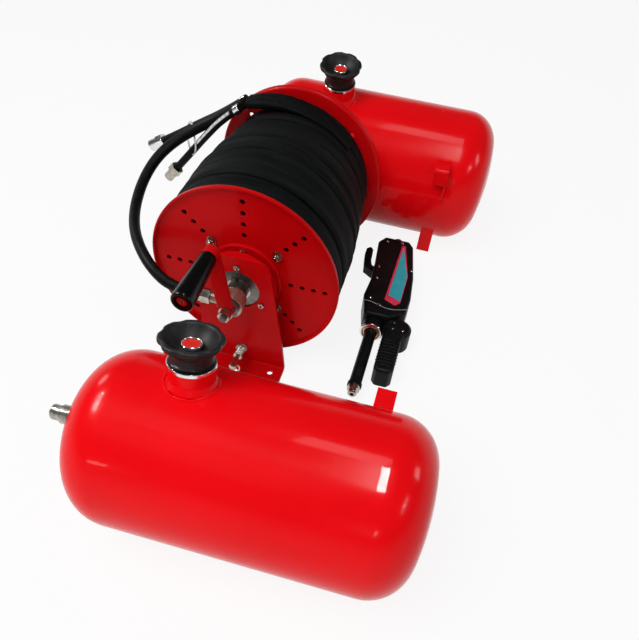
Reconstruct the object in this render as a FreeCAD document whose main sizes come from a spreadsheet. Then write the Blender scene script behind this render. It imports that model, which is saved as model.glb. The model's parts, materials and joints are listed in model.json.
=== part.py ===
import FreeCAD, Part
import math
import os
import Sketcher
from FreeCAD import Placement, Rotation, Vector

# Twin-tank water extinguisher set: two horizontal pressure tanks with screw caps
# and a hand-cranked hose reel that stands between them.
# The origin is the centre of the reel's bolt pattern on the floor. The reel's axis
# runs along Y, the tanks lie along X, one in front (-Y) and one behind (+Y).

doc = FreeCAD.newDocument("twin_tank_extinguisher")

SIZES = {
    "Tanks": [
        ("tank_radius", 130, "outside radius of a tank"),
        ("tank_length", 505, "length over both heads"),
        ("tank_wall", 3, "sheet of shell and heads"),
        ("knuckle_radius", 66, "outside knuckle of a head"),
        ("crown_radius", 379, "outside crown of a head"),
        ("tank_ground_gap", 1, "lowest line of a tank above the floor"),
        ("front_tank_x", 130, "middle of the front tank"),
        ("front_tank_y", -503, "axis of the front tank"),
        ("rear_tank_x", 125, "middle of the rear tank"),
        ("rear_tank_y", 350, "axis of the rear tank"),
        ("weld_gap", 0.05, "gap at welded seams"),
    ],
    "Filler necks": [
        ("front_neck_offset", -92, "front neck from the middle of its tank"),
        ("rear_neck_offset", -92, "rear neck from the middle of its tank"),
        ("front_neck_tilt", 15, "lean of the front neck towards the reel, degrees"),
        ("rear_neck_tilt", 9, "lean of the rear neck towards the reel, degrees"),
        ("neck_radius", 31, "outside radius of a neck"),
        ("neck_bore", 27.5, "bore radius of a neck"),
        ("neck_height", 161, "top of the neck's rim above the tank axis"),
        ("neck_foot_flare", 4, "weld bead round the foot of a neck"),
        ("rim_height", 5, "height of the steel rim ring"),
        ("rim_wall", 1.9, "wall of the steel rim ring"),
    ],
    "Screw caps": [
        ("wheel_radius", 41.5, "radius of the cap's handwheel"),
        ("wheel_height", 36, "top of the handwheel above the rim"),
        ("skirt_height", 15, "straight part of the cap's skirt above the rim"),
        ("wheel_edge", 6, "height of the handwheel's edge"),
        ("wheel_band", 10, "width of the handwheel's top band"),
        ("dish_depth", 14, "depth of the dish in the handwheel"),
        ("lobe_count", 8, "scallops round the handwheel"),
        ("lobe_cut_radius", 13, "radius of a scallop"),
        ("lobe_cut_depth", 3, "depth of a scallop"),
        ("plug_length", 13, "threaded plug below the rim"),
        ("thread_clearance", 0.1, "radial clearance of the plug"),
        ("seal_height", 2, "thickness of the cap seal"),
        ("disc_radius", 11.2, "red centre disc"),
        ("disc_ring_wall", 2.4, "chrome ring round the disc"),
    ],
    "Tank brackets and ports": [
        ("bracket_span", 153, "hooks and feet from the middle of a tank"),
        ("bracket_width", 28, "width of hooks and feet along the tank"),
        ("bracket_plate", 5, "plate of hooks and feet"),
        ("hook_top", 84, "top of a hook above the tank axis"),
        ("hook_reach", 138, "front of a hook from the tank axis"),
        ("hook_drop", 32, "depth of a hook's lip"),
        ("gusset_plate", 4, "plate of a hook's gusset"),
        ("inner_foot_reach", 110, "foot on the reel side from the tank axis"),
        ("outer_foot_reach", 85, "foot on the outer side from the tank axis"),
        ("foot_flange", 25, "length of a foot's flange on the floor"),
        ("nipple_side", 37, "nipple from the tank's middle plane"),
        ("nipple_rise", 80, "nipple above the tank axis"),
        ("nipple_radius", 10.5, "outside radius of the threaded nipple"),
        ("nipple_bore", 7, "bore radius of the nipple"),
        ("nipple_length", 20, "nipple beyond the head"),
        ("nipple_seat", 5, "welded boss of the nipple beyond the head"),
        ("nipple_step", 2.5, "welded boss wider than the thread"),
        ("dip_radius", 7.9, "outside radius of the dip tube"),
        ("dip_bend", 24, "bend radius of the dip tube"),
        ("dip_drop", 172, "height of the dip tube"),
    ],
    "Reel drum": [
        ("reel_height", 175, "reel axis above the floor"),
        ("flange_radius", 165, "outside radius of a flange"),
        ("drum_half", 165, "outer face of a flange from the middle"),
        ("flange_sheet", 3, "sheet of a flange"),
        ("lip_length", 10, "turned edge of a flange"),
        ("lip_bend", 5, "outside bend of the turned edge"),
        ("row_count", 8, "rows of punched holes"),
        ("row_first", 80, "innermost hole from the axis"),
        ("row_pitch", 20, "spacing of the holes in a row"),
        ("punch_radius", 4.5, "radius of a punched hole"),
        ("hub_radius", 64, "radius of a hub disc"),
        ("hub_plate", 6, "thickness of a hub disc"),
        ("hub_boss_radius", 30, "radius of a hub's boss"),
        ("hub_boss_length", 7, "length of a hub's boss"),
        ("hub_screw_circle", 53, "hub screws from the axis"),
        ("barrel_radius", 92, "outside radius of the drum barrel"),
        ("barrel_wall", 3, "sheet of the drum barrel"),
        ("pack_radius", 159, "outside of the wound hose"),
        ("pack_clearance", 0.3, "gap round the wound hose"),
        ("turn_count", 8, "turns of hose across the drum"),
        ("turn_bulge", 4, "bulge of one turn"),
    ],
    "Shaft and bearings": [
        ("shaft_radius", 17.5, "radius of the reel shaft"),
        ("bearing_radius", 36, "outside radius of a bearing"),
        ("bearing_width", 17, "width of a bearing"),
        ("race_radius", 21.5, "outside radius of an inner race"),
        ("running_clearance", 0.05, "radial clearance of turning fits"),
        ("housing_radius", 61, "radius of a bearing housing"),
        ("housing_depth", 18, "depth of a bearing housing"),
        ("housing_lip", 3, "shoulder behind a bearing"),
        ("circlip_height", 3.5, "height of a circlip over the shaft"),
        ("circlip_width", 1.75, "thickness of a circlip"),
        ("groove_depth", 0.7, "depth of a circlip groove"),
        ("union_length", 24, "length of the water union's ring"),
        ("union_wall", 4, "wall of the water union's ring"),
        ("union_front", 246, "front end of the union from the middle"),
        ("port_radius", 9, "radius of the union's side port"),
        ("port_reach", 36, "end of the side port from the shaft axis"),
        ("water_bore", 7, "radius of the shaft's water bore"),
    ],
    "Reel stand": [
        ("plate_sheet", 5, "sheet of the side plates"),
        ("plate_out", 203, "outer face of a side plate from the middle"),
        ("plate_top", 240, "top of the side plates"),
        ("plate_top_half", 57, "half width of the plates at the top"),
        ("plate_foot_half", 83, "half width of the plates at the floor"),
        ("plate_corner", 24, "radius of the plates' top corners"),
        ("plate_window", 37, "radius of the bearing window"),
        ("plate_foot", 38, "length of the turned foot"),
        ("plate_bend", 8, "outside bend of the turned foot"),
        ("base_hole_x", 60, "mounting holes from the middle, along X"),
        ("base_hole_inset", 18, "mounting holes from the plate's outer face"),
        ("base_hole_radius", 5.5, "radius of the mounting holes"),
        ("base_half", 48, "half width of the base strap"),
        ("base_sheet", 5, "sheet of the base strap"),
        ("base_tab", 88, "height of the base strap's tabs"),
        ("housing_screw_circle", 46, "housing screws from the axis"),
    ],
    "Crank": [
        ("crank_radius", 112, "grip axis from the shaft axis"),
        ("crank_angle", 8, "lean of the crank from straight up, degrees"),
        ("arm_width", 24, "width of the crank arm"),
        ("arm_thickness", 8, "thickness of the crank arm"),
        ("arm_face", 262, "outer face of the crank arm from the middle"),
        ("arm_seat", 15, "square seat of the crank arm"),
        ("crank_boss_radius", 12.5, "radius of the boss under the grip"),
        ("crank_boss_length", 8, "length of the boss under the grip"),
        ("grip_length", 100, "length of the grip"),
        ("grip_base_radius", 12.5, "radius of the grip at its boss"),
        ("grip_end_radius", 16.5, "radius of the grip near its end"),
        ("grip_round", 4, "rounding of the grip's end"),
        ("grip_recess_radius", 9.5, "radius of the recess in the grip's end"),
        ("grip_recess_depth", 8, "depth of the recess in the grip's end"),
        ("grip_bolt_radius", 5, "radius of the grip's bolt"),
    ],
    "Lock pin": [
        ("lock_pin_radius", 4, "radius of the lock pin"),
        ("lock_gap", 3.5, "pin tip from the flange when drawn"),
        ("lock_body_radius", 8, "radius of the pin's threaded body"),
        ("lock_body_length", 24, "length of the threaded body"),
        ("lock_knob_radius", 6.5, "radius of the pull knob"),
        ("lock_knob_length", 22, "length of the pull knob"),
        ("lock_knob_gap", 8, "gap between body and drawn knob"),
    ],
    "Fasteners": [
        ("tie_radius", 4, "radius of the tie rods"),
        ("tie_end", 13, "tie rod beyond the flange"),
        ("nut_half", 6.5, "half the width over flats of the tie nuts"),
        ("nut_height", 6.5, "height of the tie nuts"),
        ("washer_radius", 8.5, "radius of the tie washers"),
        ("washer_height", 1.6, "thickness of the washers"),
        ("screw_radius", 3, "radius of the hub and housing screws"),
        ("screw_head_radius", 5, "radius of the screw heads"),
        ("screw_head_height", 4, "height of the screw heads"),
        ("crank_stud_radius", 6, "radius of the crank stud"),
        ("crank_nut_half", 9.5, "half the width over flats of the crank nut"),
        ("crank_nut_height", 10, "height of the crank nut"),
        ("crank_washer_radius", 12, "radius of the crank washer"),
        ("fit_gap", 0.02, "radial gap of fixed fits"),
    ],
    "Loose hoses": [
        ("supply_hose_radius", 9.5, "radius of the supply hose"),
        ("tail_hose_radius", 7, "radius of the two tail hoses"),
        ("sleeve_half_width", 25, "half width of the sleeve's end"),
        ("sleeve_height", 20, "height of the sleeve's end"),
        ("hose_nut_half", 11, "half the width over flats of the hose nuts"),
        ("hose_nut_length", 16, "length of the hose nuts"),
        ("ferrule_wall", 1.3, "wall of the crimped ferrules"),
        ("ferrule_length", 12, "length of the crimped ferrules"),
    ],
    "Spray gun": [
        ("gun_x", 222, "lance axis of the gun, across the reel"),
        ("gun_y", -65, "front end of the gun's housing, along the reel"),
        ("gun_axis", 28, "height of the lance axis"),
        ("gun_width", 92, "width of the housing as it lies"),
        ("gun_length", 255, "back of the housing from its origin"),
        ("gun_depth", 56, "depth of the housing as it lies"),
        ("gun_corner", 8, "radius of the housing's upright corners"),
        ("gun_edge", 6, "radius of the housing's long edges"),
        ("trigger_depth", 18, "depth of the trigger"),
        ("trigger_play", 0.6, "gap on each side of the trigger"),
        ("trigger_pin_radius", 3, "radius of the trigger's pin"),
        ("panel_height", 1.2, "thickness of the side panel"),
        ("grip_offset", 49.5, "middle of the grip's palm rest from the lance axis"),
        ("grip_back", 4.5, "middle of the grip's palm rest before the housing"),
        ("palm_radius", 27, "radius of the grip's palm rest"),
        ("grip_width", 38, "width of the front grip"),
        ("front_grip_length", 115, "end of the front grip from the housing"),
        ("grip_depth", 44, "depth of the front grip"),
        ("collar_radius", 21, "radius of the lance collar"),
        ("collar_length", 14, "front of the lance collar"),
        ("lance_radius", 11.5, "radius of the lance"),
        ("lance_bore", 4, "radius of the lance's bore"),
        ("lance_length", 158, "front of the lance"),
        ("tip_radius", 13.5, "radius of the lance's end ring"),
        ("tip_band", 9, "length of the nozzle's plated band"),
        ("inlet_radius", 10.5, "radius of the gun's inlet thread"),
        ("inlet_length", 26, "length of the gun's inlet"),
    ],
}


class Size:
    """A number with the sheet formula that gives it."""

    def __init__(self, value, text):
        self.value = float(value)
        self.text = text

    def __add__(self, other):
        other = as_size(other)
        return Size(self.value + other.value, f"({self.text} + {other.text})")

    def __sub__(self, other):
        other = as_size(other)
        return Size(self.value - other.value, f"({self.text} - {other.text})")

    def __mul__(self, other):
        other = as_size(other)
        return Size(self.value * other.value, f"({self.text} * {other.text})")

    def __truediv__(self, other):
        other = as_size(other)
        return Size(self.value / other.value, f"({self.text} / {other.text})")

    def __neg__(self):
        return Size(-self.value, f"(-1 * {self.text})")

    __radd__ = __add__
    __rmul__ = __mul__

    def __rsub__(self, other):
        return as_size(other) - self


def as_size(number):
    if isinstance(number, Size):
        return number
    return Size(number, f"({float(number):.6f})")


def root(size):
    return Size(math.sqrt(size.value), f"sqrt({size.text})")


class Sizes:
    """The driving dimensions, read by name."""


def make_sheet():
    sheet = doc.addObject("Spreadsheet::Sheet", "sizes")
    sizes = Sizes()
    row = 1
    for title, lines in SIZES.items():
        sheet.set(f"A{row}", title)
        row += 1
        for name, number, note in lines:
            sheet.set(f"A{row}", name)
            sheet.set(f"B{row}", str(number))
            sheet.set(f"C{row}", note)
            sheet.setAlias(f"B{row}", name)
            setattr(sizes, name, Size(number, f"sizes.{name}"))
            row += 1
    return sheet, sizes


sheet, s = make_sheet()
doc.recompute()

nodes = {}

ALONG_X = Rotation(Vector(0, 1, 0), 90)
ALONG_MINUS_X = Rotation(Vector(0, 1, 0), -90)
ALONG_Y = Rotation(Vector(1, 0, 0), -90)
ALONG_MINUS_Y = Rotation(Vector(1, 0, 0), 90)
TURNED_ROUND = Rotation(Vector(0, 0, 1), 180)
AS_DRAWN = Rotation()


def bind(obj, **properties):
    for name, size in properties.items():
        obj.setExpression(name, as_size(size).text)


def place(obj, x=0, y=0, z=0, rotation=AS_DRAWN):
    spot = [as_size(x), as_size(y), as_size(z)]
    obj.Placement = Placement(Vector(*(size.value for size in spot)), rotation)
    for axis, size in zip("xyz", spot):
        obj.setExpression(f"Placement.Base.{axis}", size.text)
    return obj


def origin_feature(body, role):
    for feature in body.Origin.OriginFeatures:
        if getattr(feature, "Role", "") == role:
            return feature
    raise RuntimeError(f"{body.Label} has no {role}")


def new_sketch(body, plane):
    sketch = body.newObject("Sketcher::SketchObject", f"{body.Name}_sketch")
    sketch.AttachmentSupport = [(origin_feature(body, plane), "")]
    sketch.MapMode = "FlatFace"
    return sketch


def pin_point(sketch, geometry, end, x=None, y=None):
    """Bind the coordinates of a sketch point to the sheet."""
    for kind, size in (("DistanceX", x), ("DistanceY", y)):
        if size is None:
            continue
        size = as_size(size)
        if abs(size.value) < 1e-9 and size.text.startswith("("):
            axis = -2 if kind == "DistanceX" else -1
            sketch.addConstraint(Sketcher.Constraint("PointOnObject", geometry, end, axis))
            continue
        index = sketch.addConstraint(Sketcher.Constraint(kind, -1, 1, geometry, end, size.value))
        sketch.setExpression(f"Constraints[{index}]", size.text)


def arc_through(centre, start, stop):
    """The shorter arc about centre from start to stop."""
    radius = (start - centre).Length
    middle = (start - centre) + (stop - centre)
    middle.normalize()
    return Part.Arc(start, centre + middle * radius, stop)


def draw(sketch, outline):
    """Draw a closed outline of points (x, y) and arcs (x, y, centre x, centre y)."""
    spots = [Vector(as_size(item[0]).value, as_size(item[1]).value, 0) for item in outline]
    ends = []
    for number, item in enumerate(outline):
        start, stop = spots[number - 1], spots[number]
        if len(item) == 2:
            index = sketch.addGeometry(Part.LineSegment(start, stop), False)
            ends.append((index, 1, 2))
            continue
        centre = Vector(as_size(item[2]).value, as_size(item[3]).value, 0)
        index = sketch.addGeometry(arc_through(centre, start, stop), False)
        forward = (sketch.getPoint(index, 1) - start).Length < 1e-6
        ends.append((index, 1, 2) if forward else (index, 2, 1))
    for number, (index, first, last) in enumerate(ends):
        following = ends[(number + 1) % len(ends)]
        sketch.addConstraint(Sketcher.Constraint("Coincident", index, last, following[0], following[1]))
    for number, item in enumerate(outline):
        index, first, last = ends[number]
        if len(item) == 2:
            pin_point(sketch, index, last, item[0], item[1])
            continue
        pin_point(sketch, index, 3, item[2], item[3])
        reach = spots[number] - Vector(as_size(item[2]).value, as_size(item[3]).value, 0)
        if abs(reach.y) >= abs(reach.x):
            pin_point(sketch, index, last, x=item[0])
        else:
            pin_point(sketch, index, last, y=item[1])


def draw_circle(sketch, x, y, radius):
    spot = Vector(as_size(x).value, as_size(y).value, 0)
    circle = Part.Circle(spot, Vector(0, 0, 1), as_size(radius).value)
    index = sketch.addGeometry(circle, False)
    pin_point(sketch, index, 3, x, y)
    rule = sketch.addConstraint(Sketcher.Constraint("Radius", index, as_size(radius).value))
    sketch.setExpression(f"Constraints[{rule}]", as_size(radius).text)


def new_body(label):
    body = doc.addObject("PartDesign::Body", label)
    body.Label = label
    return body


def pad(body, sketch, length, backwards=False, middle=False):
    feature = body.newObject("PartDesign::Pad", f"{body.Name}_pad")
    feature.Profile = sketch
    bind(feature, Length=length)
    feature.Reversed = backwards
    if middle:
        feature.SideType = "Symmetric"
    doc.recompute()
    return feature


def pocket_through(body, sketch):
    feature = body.newObject("PartDesign::Pocket", f"{body.Name}_pocket")
    feature.Profile = sketch
    feature.Type = "ThroughAll"
    feature.SideType = "Symmetric"
    doc.recompute()
    return feature


def revolve(body, outline):
    sketch = new_sketch(body, "XZ_Plane")
    draw(sketch, outline)
    feature = body.newObject("PartDesign::Revolution", f"{body.Name}_turn")
    feature.Profile = sketch
    feature.ReferenceAxis = (sketch, ["V_Axis"])
    feature.Angle = 360
    doc.recompute()
    return feature


def holes(body, spots, radius, plane="XY_Plane"):
    """Bore round holes through the whole body."""
    sketch = new_sketch(body, plane)
    for x, y in spots:
        draw_circle(sketch, x, y, radius)
    return pocket_through(body, sketch)


def around(body, feature, count):
    """Repeat a feature round the body's Z axis."""
    pattern = body.newObject("PartDesign::PolarPattern", f"{body.Name}_pattern")
    pattern.Originals = [feature]
    pattern.Axis = (origin_feature(body, "Z_Axis"), [""])
    pattern.Angle = 360
    bind(pattern, Occurrences=count)
    body.Tip = pattern
    doc.recompute()
    return pattern


def round_edges(body, radius, chosen):
    """Fillet the edges of the body's last feature whose middle point is chosen."""
    base = body.Tip
    names = []
    for number, edge in enumerate(base.Shape.Edges, 1):
        middle = edge.valueAt((edge.FirstParameter + edge.LastParameter) / 2)
        if chosen(edge, middle):
            names.append(f"Edge{number}")
    fillet = body.newObject("PartDesign::Fillet", f"{body.Name}_round")
    fillet.Base = (base, names)
    bind(fillet, Radius=radius)
    doc.recompute()
    return fillet


def keep(name, obj):
    nodes[name] = obj
    return obj


def group(label, members):
    """One node of several separate solids."""
    compound = doc.addObject("Part::Compound", label)
    compound.Label = label
    compound.Links = members
    doc.recompute()
    return keep(label, compound)


def turned(label, outline, x=0, y=0, z=0, rotation=AS_DRAWN):
    """A body of revolution about its own Z axis."""
    body = new_body(label)
    revolve(body, outline)
    place(body, x, y, z, rotation)
    return body


def ring_outline(inner, outer, low, high):
    return [(outer, low), (outer, high), (inner, high), (inner, low)]


def hexagon(sketch, half_width):
    """A hexagon about the sketch's origin, with its corners on the X axis."""
    corner = as_size(half_width) * (2 / math.sqrt(3))
    half = corner / 2
    wide = as_size(half_width)
    draw(sketch, [(corner, 0), (half, wide), (-half, wide), (-corner, 0), (-half, -wide), (half, -wide)])


# Tanks

tank_z = s.tank_radius + s.tank_ground_gap
head_depth = s.crown_radius - root(
    (s.crown_radius - s.knuckle_radius) * (s.crown_radius - s.knuckle_radius)
    - (s.tank_radius - s.knuckle_radius) * (s.tank_radius - s.knuckle_radius)
)
TANKS = {
    "front": (s.front_tank_x, s.front_tank_y, s.front_neck_offset, s.front_neck_tilt, 1),
    "rear": (s.rear_tank_x, s.rear_tank_y, s.rear_neck_offset, s.rear_neck_tilt, -1),
}


def head_points(inset):
    """Half outline of the vessel at a depth below its outside, from rim to rim."""
    half = s.tank_length / 2
    knuckle = s.knuckle_radius - inset
    crown = s.crown_radius - inset
    knuckle_x = half - head_depth
    knuckle_r = s.tank_radius - s.knuckle_radius
    crown_x = half - s.crown_radius
    share = crown / (s.crown_radius - s.knuckle_radius)
    join_x = crown_x + (knuckle_x - crown_x) * share
    join_r = knuckle_r * share
    radius = knuckle_r + knuckle
    return half - inset, radius, knuckle_x, knuckle_r, crown_x, join_x, join_r


def vessel_outline(inset):
    """Closed outline of the solid vessel in (radius, length) about the sketch's vertical axis."""
    tip, radius, knuckle_x, knuckle_r, crown_x, join_x, join_r = head_points(inset)
    return [
        (0, -tip),
        (join_r, -join_x, 0, -crown_x),
        (radius, -knuckle_x, knuckle_r, -knuckle_x),
        (radius, knuckle_x),
        (join_r, join_x, knuckle_r, knuckle_x),
        (0, tip, 0, crown_x),
    ]


def groove(body, outline):
    sketch = new_sketch(body, "XZ_Plane")
    draw(sketch, outline)
    feature = body.newObject("PartDesign::Groove", f"{body.Name}_groove")
    feature.Profile = sketch
    feature.ReferenceAxis = (sketch, ["V_Axis"])
    feature.Angle = 360
    doc.recompute()
    return feature


def tool_cylinder(name, radius, length, x, y, z, rotation):
    cylinder = doc.addObject("Part::Cylinder", name)
    bind(cylinder, Radius=radius, Height=length)
    return place(cylinder, x, y, z, rotation)


def cut(label, base, tools):
    """Base without the tools, as one more step of the same piece."""
    result = base
    for number, tool in enumerate(tools, 1):
        step = doc.addObject("Part::Cut", f"{label}_cut{number}")
        step.Base = result
        step.Tool = tool
        result = step
    result.Label = label
    doc.recompute()
    return result


def fuse(label, members):
    result = doc.addObject("Part::MultiFuse", label)
    result.Label = label
    result.Shapes = members
    result.Refine = True
    doc.recompute()
    return result


def neck_frame(tank):
    """Placement of a neck's own frame: origin on the tank axis, Z along the neck."""
    x, y, offset, tilt, side = TANKS[tank]
    rotation = Rotation(Vector(-side, 0, 0), tilt.value)
    return x + offset, y, tank_z, rotation


def tank_shell(tank):
    x, y, offset, tilt, side = TANKS[tank]
    body = new_body(f"{tank}_vessel")
    revolve(body, vessel_outline(0))
    groove(body, vessel_outline(s.tank_wall))
    place(body, x, y, tank_z, ALONG_X)
    neck_x, neck_y, neck_z, rotation = neck_frame(tank)
    mouth = tool_cylinder(
        f"{tank}_mouth_tool", s.neck_radius + s.weld_gap, s.neck_height, neck_x, neck_y, neck_z, rotation
    )
    port = tool_cylinder(
        f"{tank}_port_tool", s.nipple_radius + s.nipple_step + s.weld_gap, s.nipple_rise * 2,
        x - s.tank_length / 2 + s.nipple_rise, y - s.nipple_side, tank_z + s.nipple_rise, ALONG_MINUS_X,
    )
    keep(f"{tank}_tank_shell", cut(f"{tank}_tank_shell", body, [mouth, port]))


def neck(tank):
    """Filler neck with its weld bead, cut flush with the inside of the shell."""
    foot = s.tank_radius - s.tank_wall * 2
    tube_top = s.neck_height - s.rim_height
    bead = s.neck_radius + s.neck_foot_flare
    bead_top = s.tank_radius + s.neck_foot_flare
    x, y, z, rotation = neck_frame(tank)
    tube = turned(
        f"{tank}_neck_tube", ring_outline(s.neck_bore, s.neck_radius, foot - s.tank_wall, tube_top), x, y, z, rotation
    )
    bead_low = s.tank_radius - s.neck_foot_flare * 2
    flare = turned(
        f"{tank}_neck_bead",
        [(bead, bead_low), (bead, bead_top - s.neck_foot_flare), (s.neck_radius, bead_top + s.neck_foot_flare),
         (s.neck_radius, bead_low)],
        x, y, z, rotation,
    )
    vessel = tool_cylinder(
        f"{tank}_neck_vessel_tool", s.tank_radius + s.weld_gap, s.tank_length,
        TANKS[tank][0] - s.tank_length / 2, y, z, ALONG_X,
    )
    hollow = tool_cylinder(
        f"{tank}_neck_hollow_tool", s.tank_radius - s.tank_wall, s.tank_length,
        TANKS[tank][0] - s.tank_length / 2, y, z, ALONG_X,
    )
    outside = cut(f"{tank}_neck_bead_trimmed", flare, [vessel])
    inside = cut(f"{tank}_neck_tube_trimmed", tube, [hollow])
    keep(f"{tank}_filler_neck", fuse(f"{tank}_filler_neck", [inside, outside]))


def neck_rim(tank):
    inner = s.neck_radius - s.rim_wall
    outer = s.neck_radius + 0.8
    low = s.neck_height - s.rim_height
    edge = s.rim_wall / 3
    x, y, z, rotation = neck_frame(tank)
    return turned(
        f"{tank}_neck_rim",
        [(outer, low), (outer, s.neck_height - edge), (outer - edge, s.neck_height), (inner, s.neck_height),
         (inner, low)],
        x, y, z, rotation,
    )


def cap_seal(tank):
    plug = s.neck_bore - s.thread_clearance
    low = s.neck_height - s.rim_height
    outer = s.neck_radius - s.rim_wall - 0.25
    x, y, z, rotation = neck_frame(tank)
    keep(f"{tank}_cap_seal", turned(
        f"{tank}_cap_seal", ring_outline(plug + 0.1, outer, low, low + s.seal_height), x, y, z, rotation
    ))


def cap(tank):
    """Screw cap: dished handwheel with scalloped edge, skirt and threaded plug."""
    top = s.neck_height + s.wheel_height
    plug = s.neck_bore - s.thread_clearance
    skirt = s.neck_radius - s.rim_wall - 0.3
    shoulder = s.neck_height - s.rim_height + s.seal_height
    floor = top - s.dish_depth
    dish = s.wheel_radius - s.wheel_band
    boss = s.disc_radius + s.disc_ring_wall
    edge = s.wheel_edge / 2
    x, y, z, rotation = neck_frame(tank)
    body = new_body(f"{tank}_cap")
    revolve(body, [
        (0, s.neck_height - s.plug_length),
        (plug, s.neck_height - s.plug_length),
        (plug, shoulder),
        (skirt, shoulder),
        (skirt, s.neck_height + s.skirt_height),
        (s.wheel_radius - edge, top - s.wheel_edge - edge),
        (s.wheel_radius, top - s.wheel_edge, s.wheel_radius - edge, top - s.wheel_edge),
        (s.wheel_radius, top - edge),
        (s.wheel_radius - edge, top, s.wheel_radius - edge, top - edge),
        (dish + 2, top),
        (dish, top - 2, dish + 2, top - 2),
        (boss + 4, floor),
        (0, floor),
    ])
    cutter = new_sketch(body, "XY_Plane")
    reach = s.wheel_radius - s.lobe_cut_depth + s.lobe_cut_radius
    draw_circle(cutter, reach, 0, s.lobe_cut_radius)
    scallop = pocket_through(body, cutter)
    around(body, scallop, s.lobe_count)
    place(body, x, y, z, rotation)
    keep(f"{tank}_cap", body)
    low = floor
    high = floor + 5
    keep(f"{tank}_cap_ring", turned(
        f"{tank}_cap_ring",
        [(boss, low), (boss, high - 1), (boss - 1, high), (s.disc_radius + s.fit_gap, high),
         (s.disc_radius + s.fit_gap, low)],
        x, y, z, rotation,
    ))
    keep(f"{tank}_cap_disc", turned(
        f"{tank}_cap_disc",
        [(0, low), (s.disc_radius, low), (s.disc_radius, high - 1.4), (s.disc_radius - 1, high - 0.8),
         (0, high - 0.4)],
        x, y, z, rotation,
    ))


def hook(tank, end):
    """Hook of bent plate with a gusset, that hangs over a rail."""
    x, y, offset, tilt, side = TANKS[tank]
    name = f"{tank}_hook_{'left' if end < 0 else 'right'}"
    body = new_body(name)
    low = s.hook_top - s.bracket_plate
    lip = s.hook_reach - s.bracket_plate
    bend = s.bracket_plate + 2
    sketch = new_sketch(body, "YZ_Plane")
    draw(sketch, [
        (s.hook_reach - bend, s.hook_top),
        (s.hook_reach, s.hook_top - bend, s.hook_reach - bend, s.hook_top - bend),
        (s.hook_reach, s.hook_top - s.hook_drop),
        (lip, s.hook_top - s.hook_drop),
        (lip, low - 2),
        (lip - 2, low, lip - 2, low - 2),
        (s.tank_radius * 0.55, low),
        (s.tank_radius * 0.55, s.hook_top),
    ])
    pad(body, sketch, s.bracket_width, middle=True)
    gusset = new_sketch(body, "YZ_Plane")
    gusset.AttachmentOffset = Placement(Vector(0, 0, 0), AS_DRAWN)
    shift = (s.bracket_width - s.gusset_plate) / 2 * side
    gusset.setExpression("AttachmentOffset.Base.z", shift.text)
    draw(gusset, [
        (lip + 1, low + 1), (lip + 1, s.hook_top - s.hook_drop), (s.tank_radius + 0.6, s.hook_top - s.hook_drop * 2),
        (s.tank_radius * 0.55, low + 1),
    ])
    pad(body, gusset, s.gusset_plate, middle=True)
    trim = new_sketch(body, "YZ_Plane")
    draw_circle(trim, 0, 0, s.tank_radius + s.weld_gap)
    pocket_through(body, trim)
    turn = AS_DRAWN if side > 0 else TURNED_ROUND
    place(body, x + s.bracket_span * end, y, tank_z, turn)
    return body


def foot(tank, end, reach, sign):
    """Foot of bent plate from the underside of a tank to the floor."""
    x, y, offset, tilt, side = TANKS[tank]
    name = f"{tank}_foot_{'left' if end < 0 else 'right'}_{'inner' if sign > 0 else 'outer'}"
    body = new_body(name)
    bend = s.bracket_plate + 2
    sketch = new_sketch(body, "YZ_Plane")
    draw(sketch, [
        (reach - s.bracket_plate, tank_z),
        (reach - s.bracket_plate, s.bracket_plate + 2),
        (reach - bend, s.bracket_plate, reach - bend, s.bracket_plate + 2),
        (reach - s.foot_flange, s.bracket_plate),
        (reach - s.foot_flange, 0),
        (reach - bend, 0),
        (reach, bend, reach - bend, bend),
        (reach, tank_z),
    ])
    pad(body, sketch, s.bracket_width, middle=True)
    trim = new_sketch(body, "YZ_Plane")
    draw_circle(trim, 0, tank_z, s.tank_radius + s.weld_gap)
    pocket_through(body, trim)
    turn = AS_DRAWN if side * sign > 0 else TURNED_ROUND
    place(body, x + s.bracket_span * end, y, 0, turn)
    return body


def nipple(tank):
    """Threaded outlet nipple in the left head."""
    x, y, offset, tilt, side = TANKS[tank]
    off_axis = root(s.nipple_side * s.nipple_side + s.nipple_rise * s.nipple_rise)
    head = s.tank_length / 2 - s.crown_radius + root(s.crown_radius * s.crown_radius - off_axis * off_axis)
    inner = head - s.tank_wall * 5
    boss = s.nipple_radius + s.nipple_step
    outer = head + s.nipple_length
    return turned(
        f"{tank}_nipple",
        [(s.nipple_bore, inner), (boss, inner), (boss, head + s.nipple_seat), (s.nipple_radius, head + s.nipple_seat),
         (s.nipple_radius, outer - 1.5), (s.nipple_radius - 1.5, outer), (s.nipple_bore, outer)],
        x, y - s.nipple_side, tank_z + s.nipple_rise, ALONG_MINUS_X,
    ), inner


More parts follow.
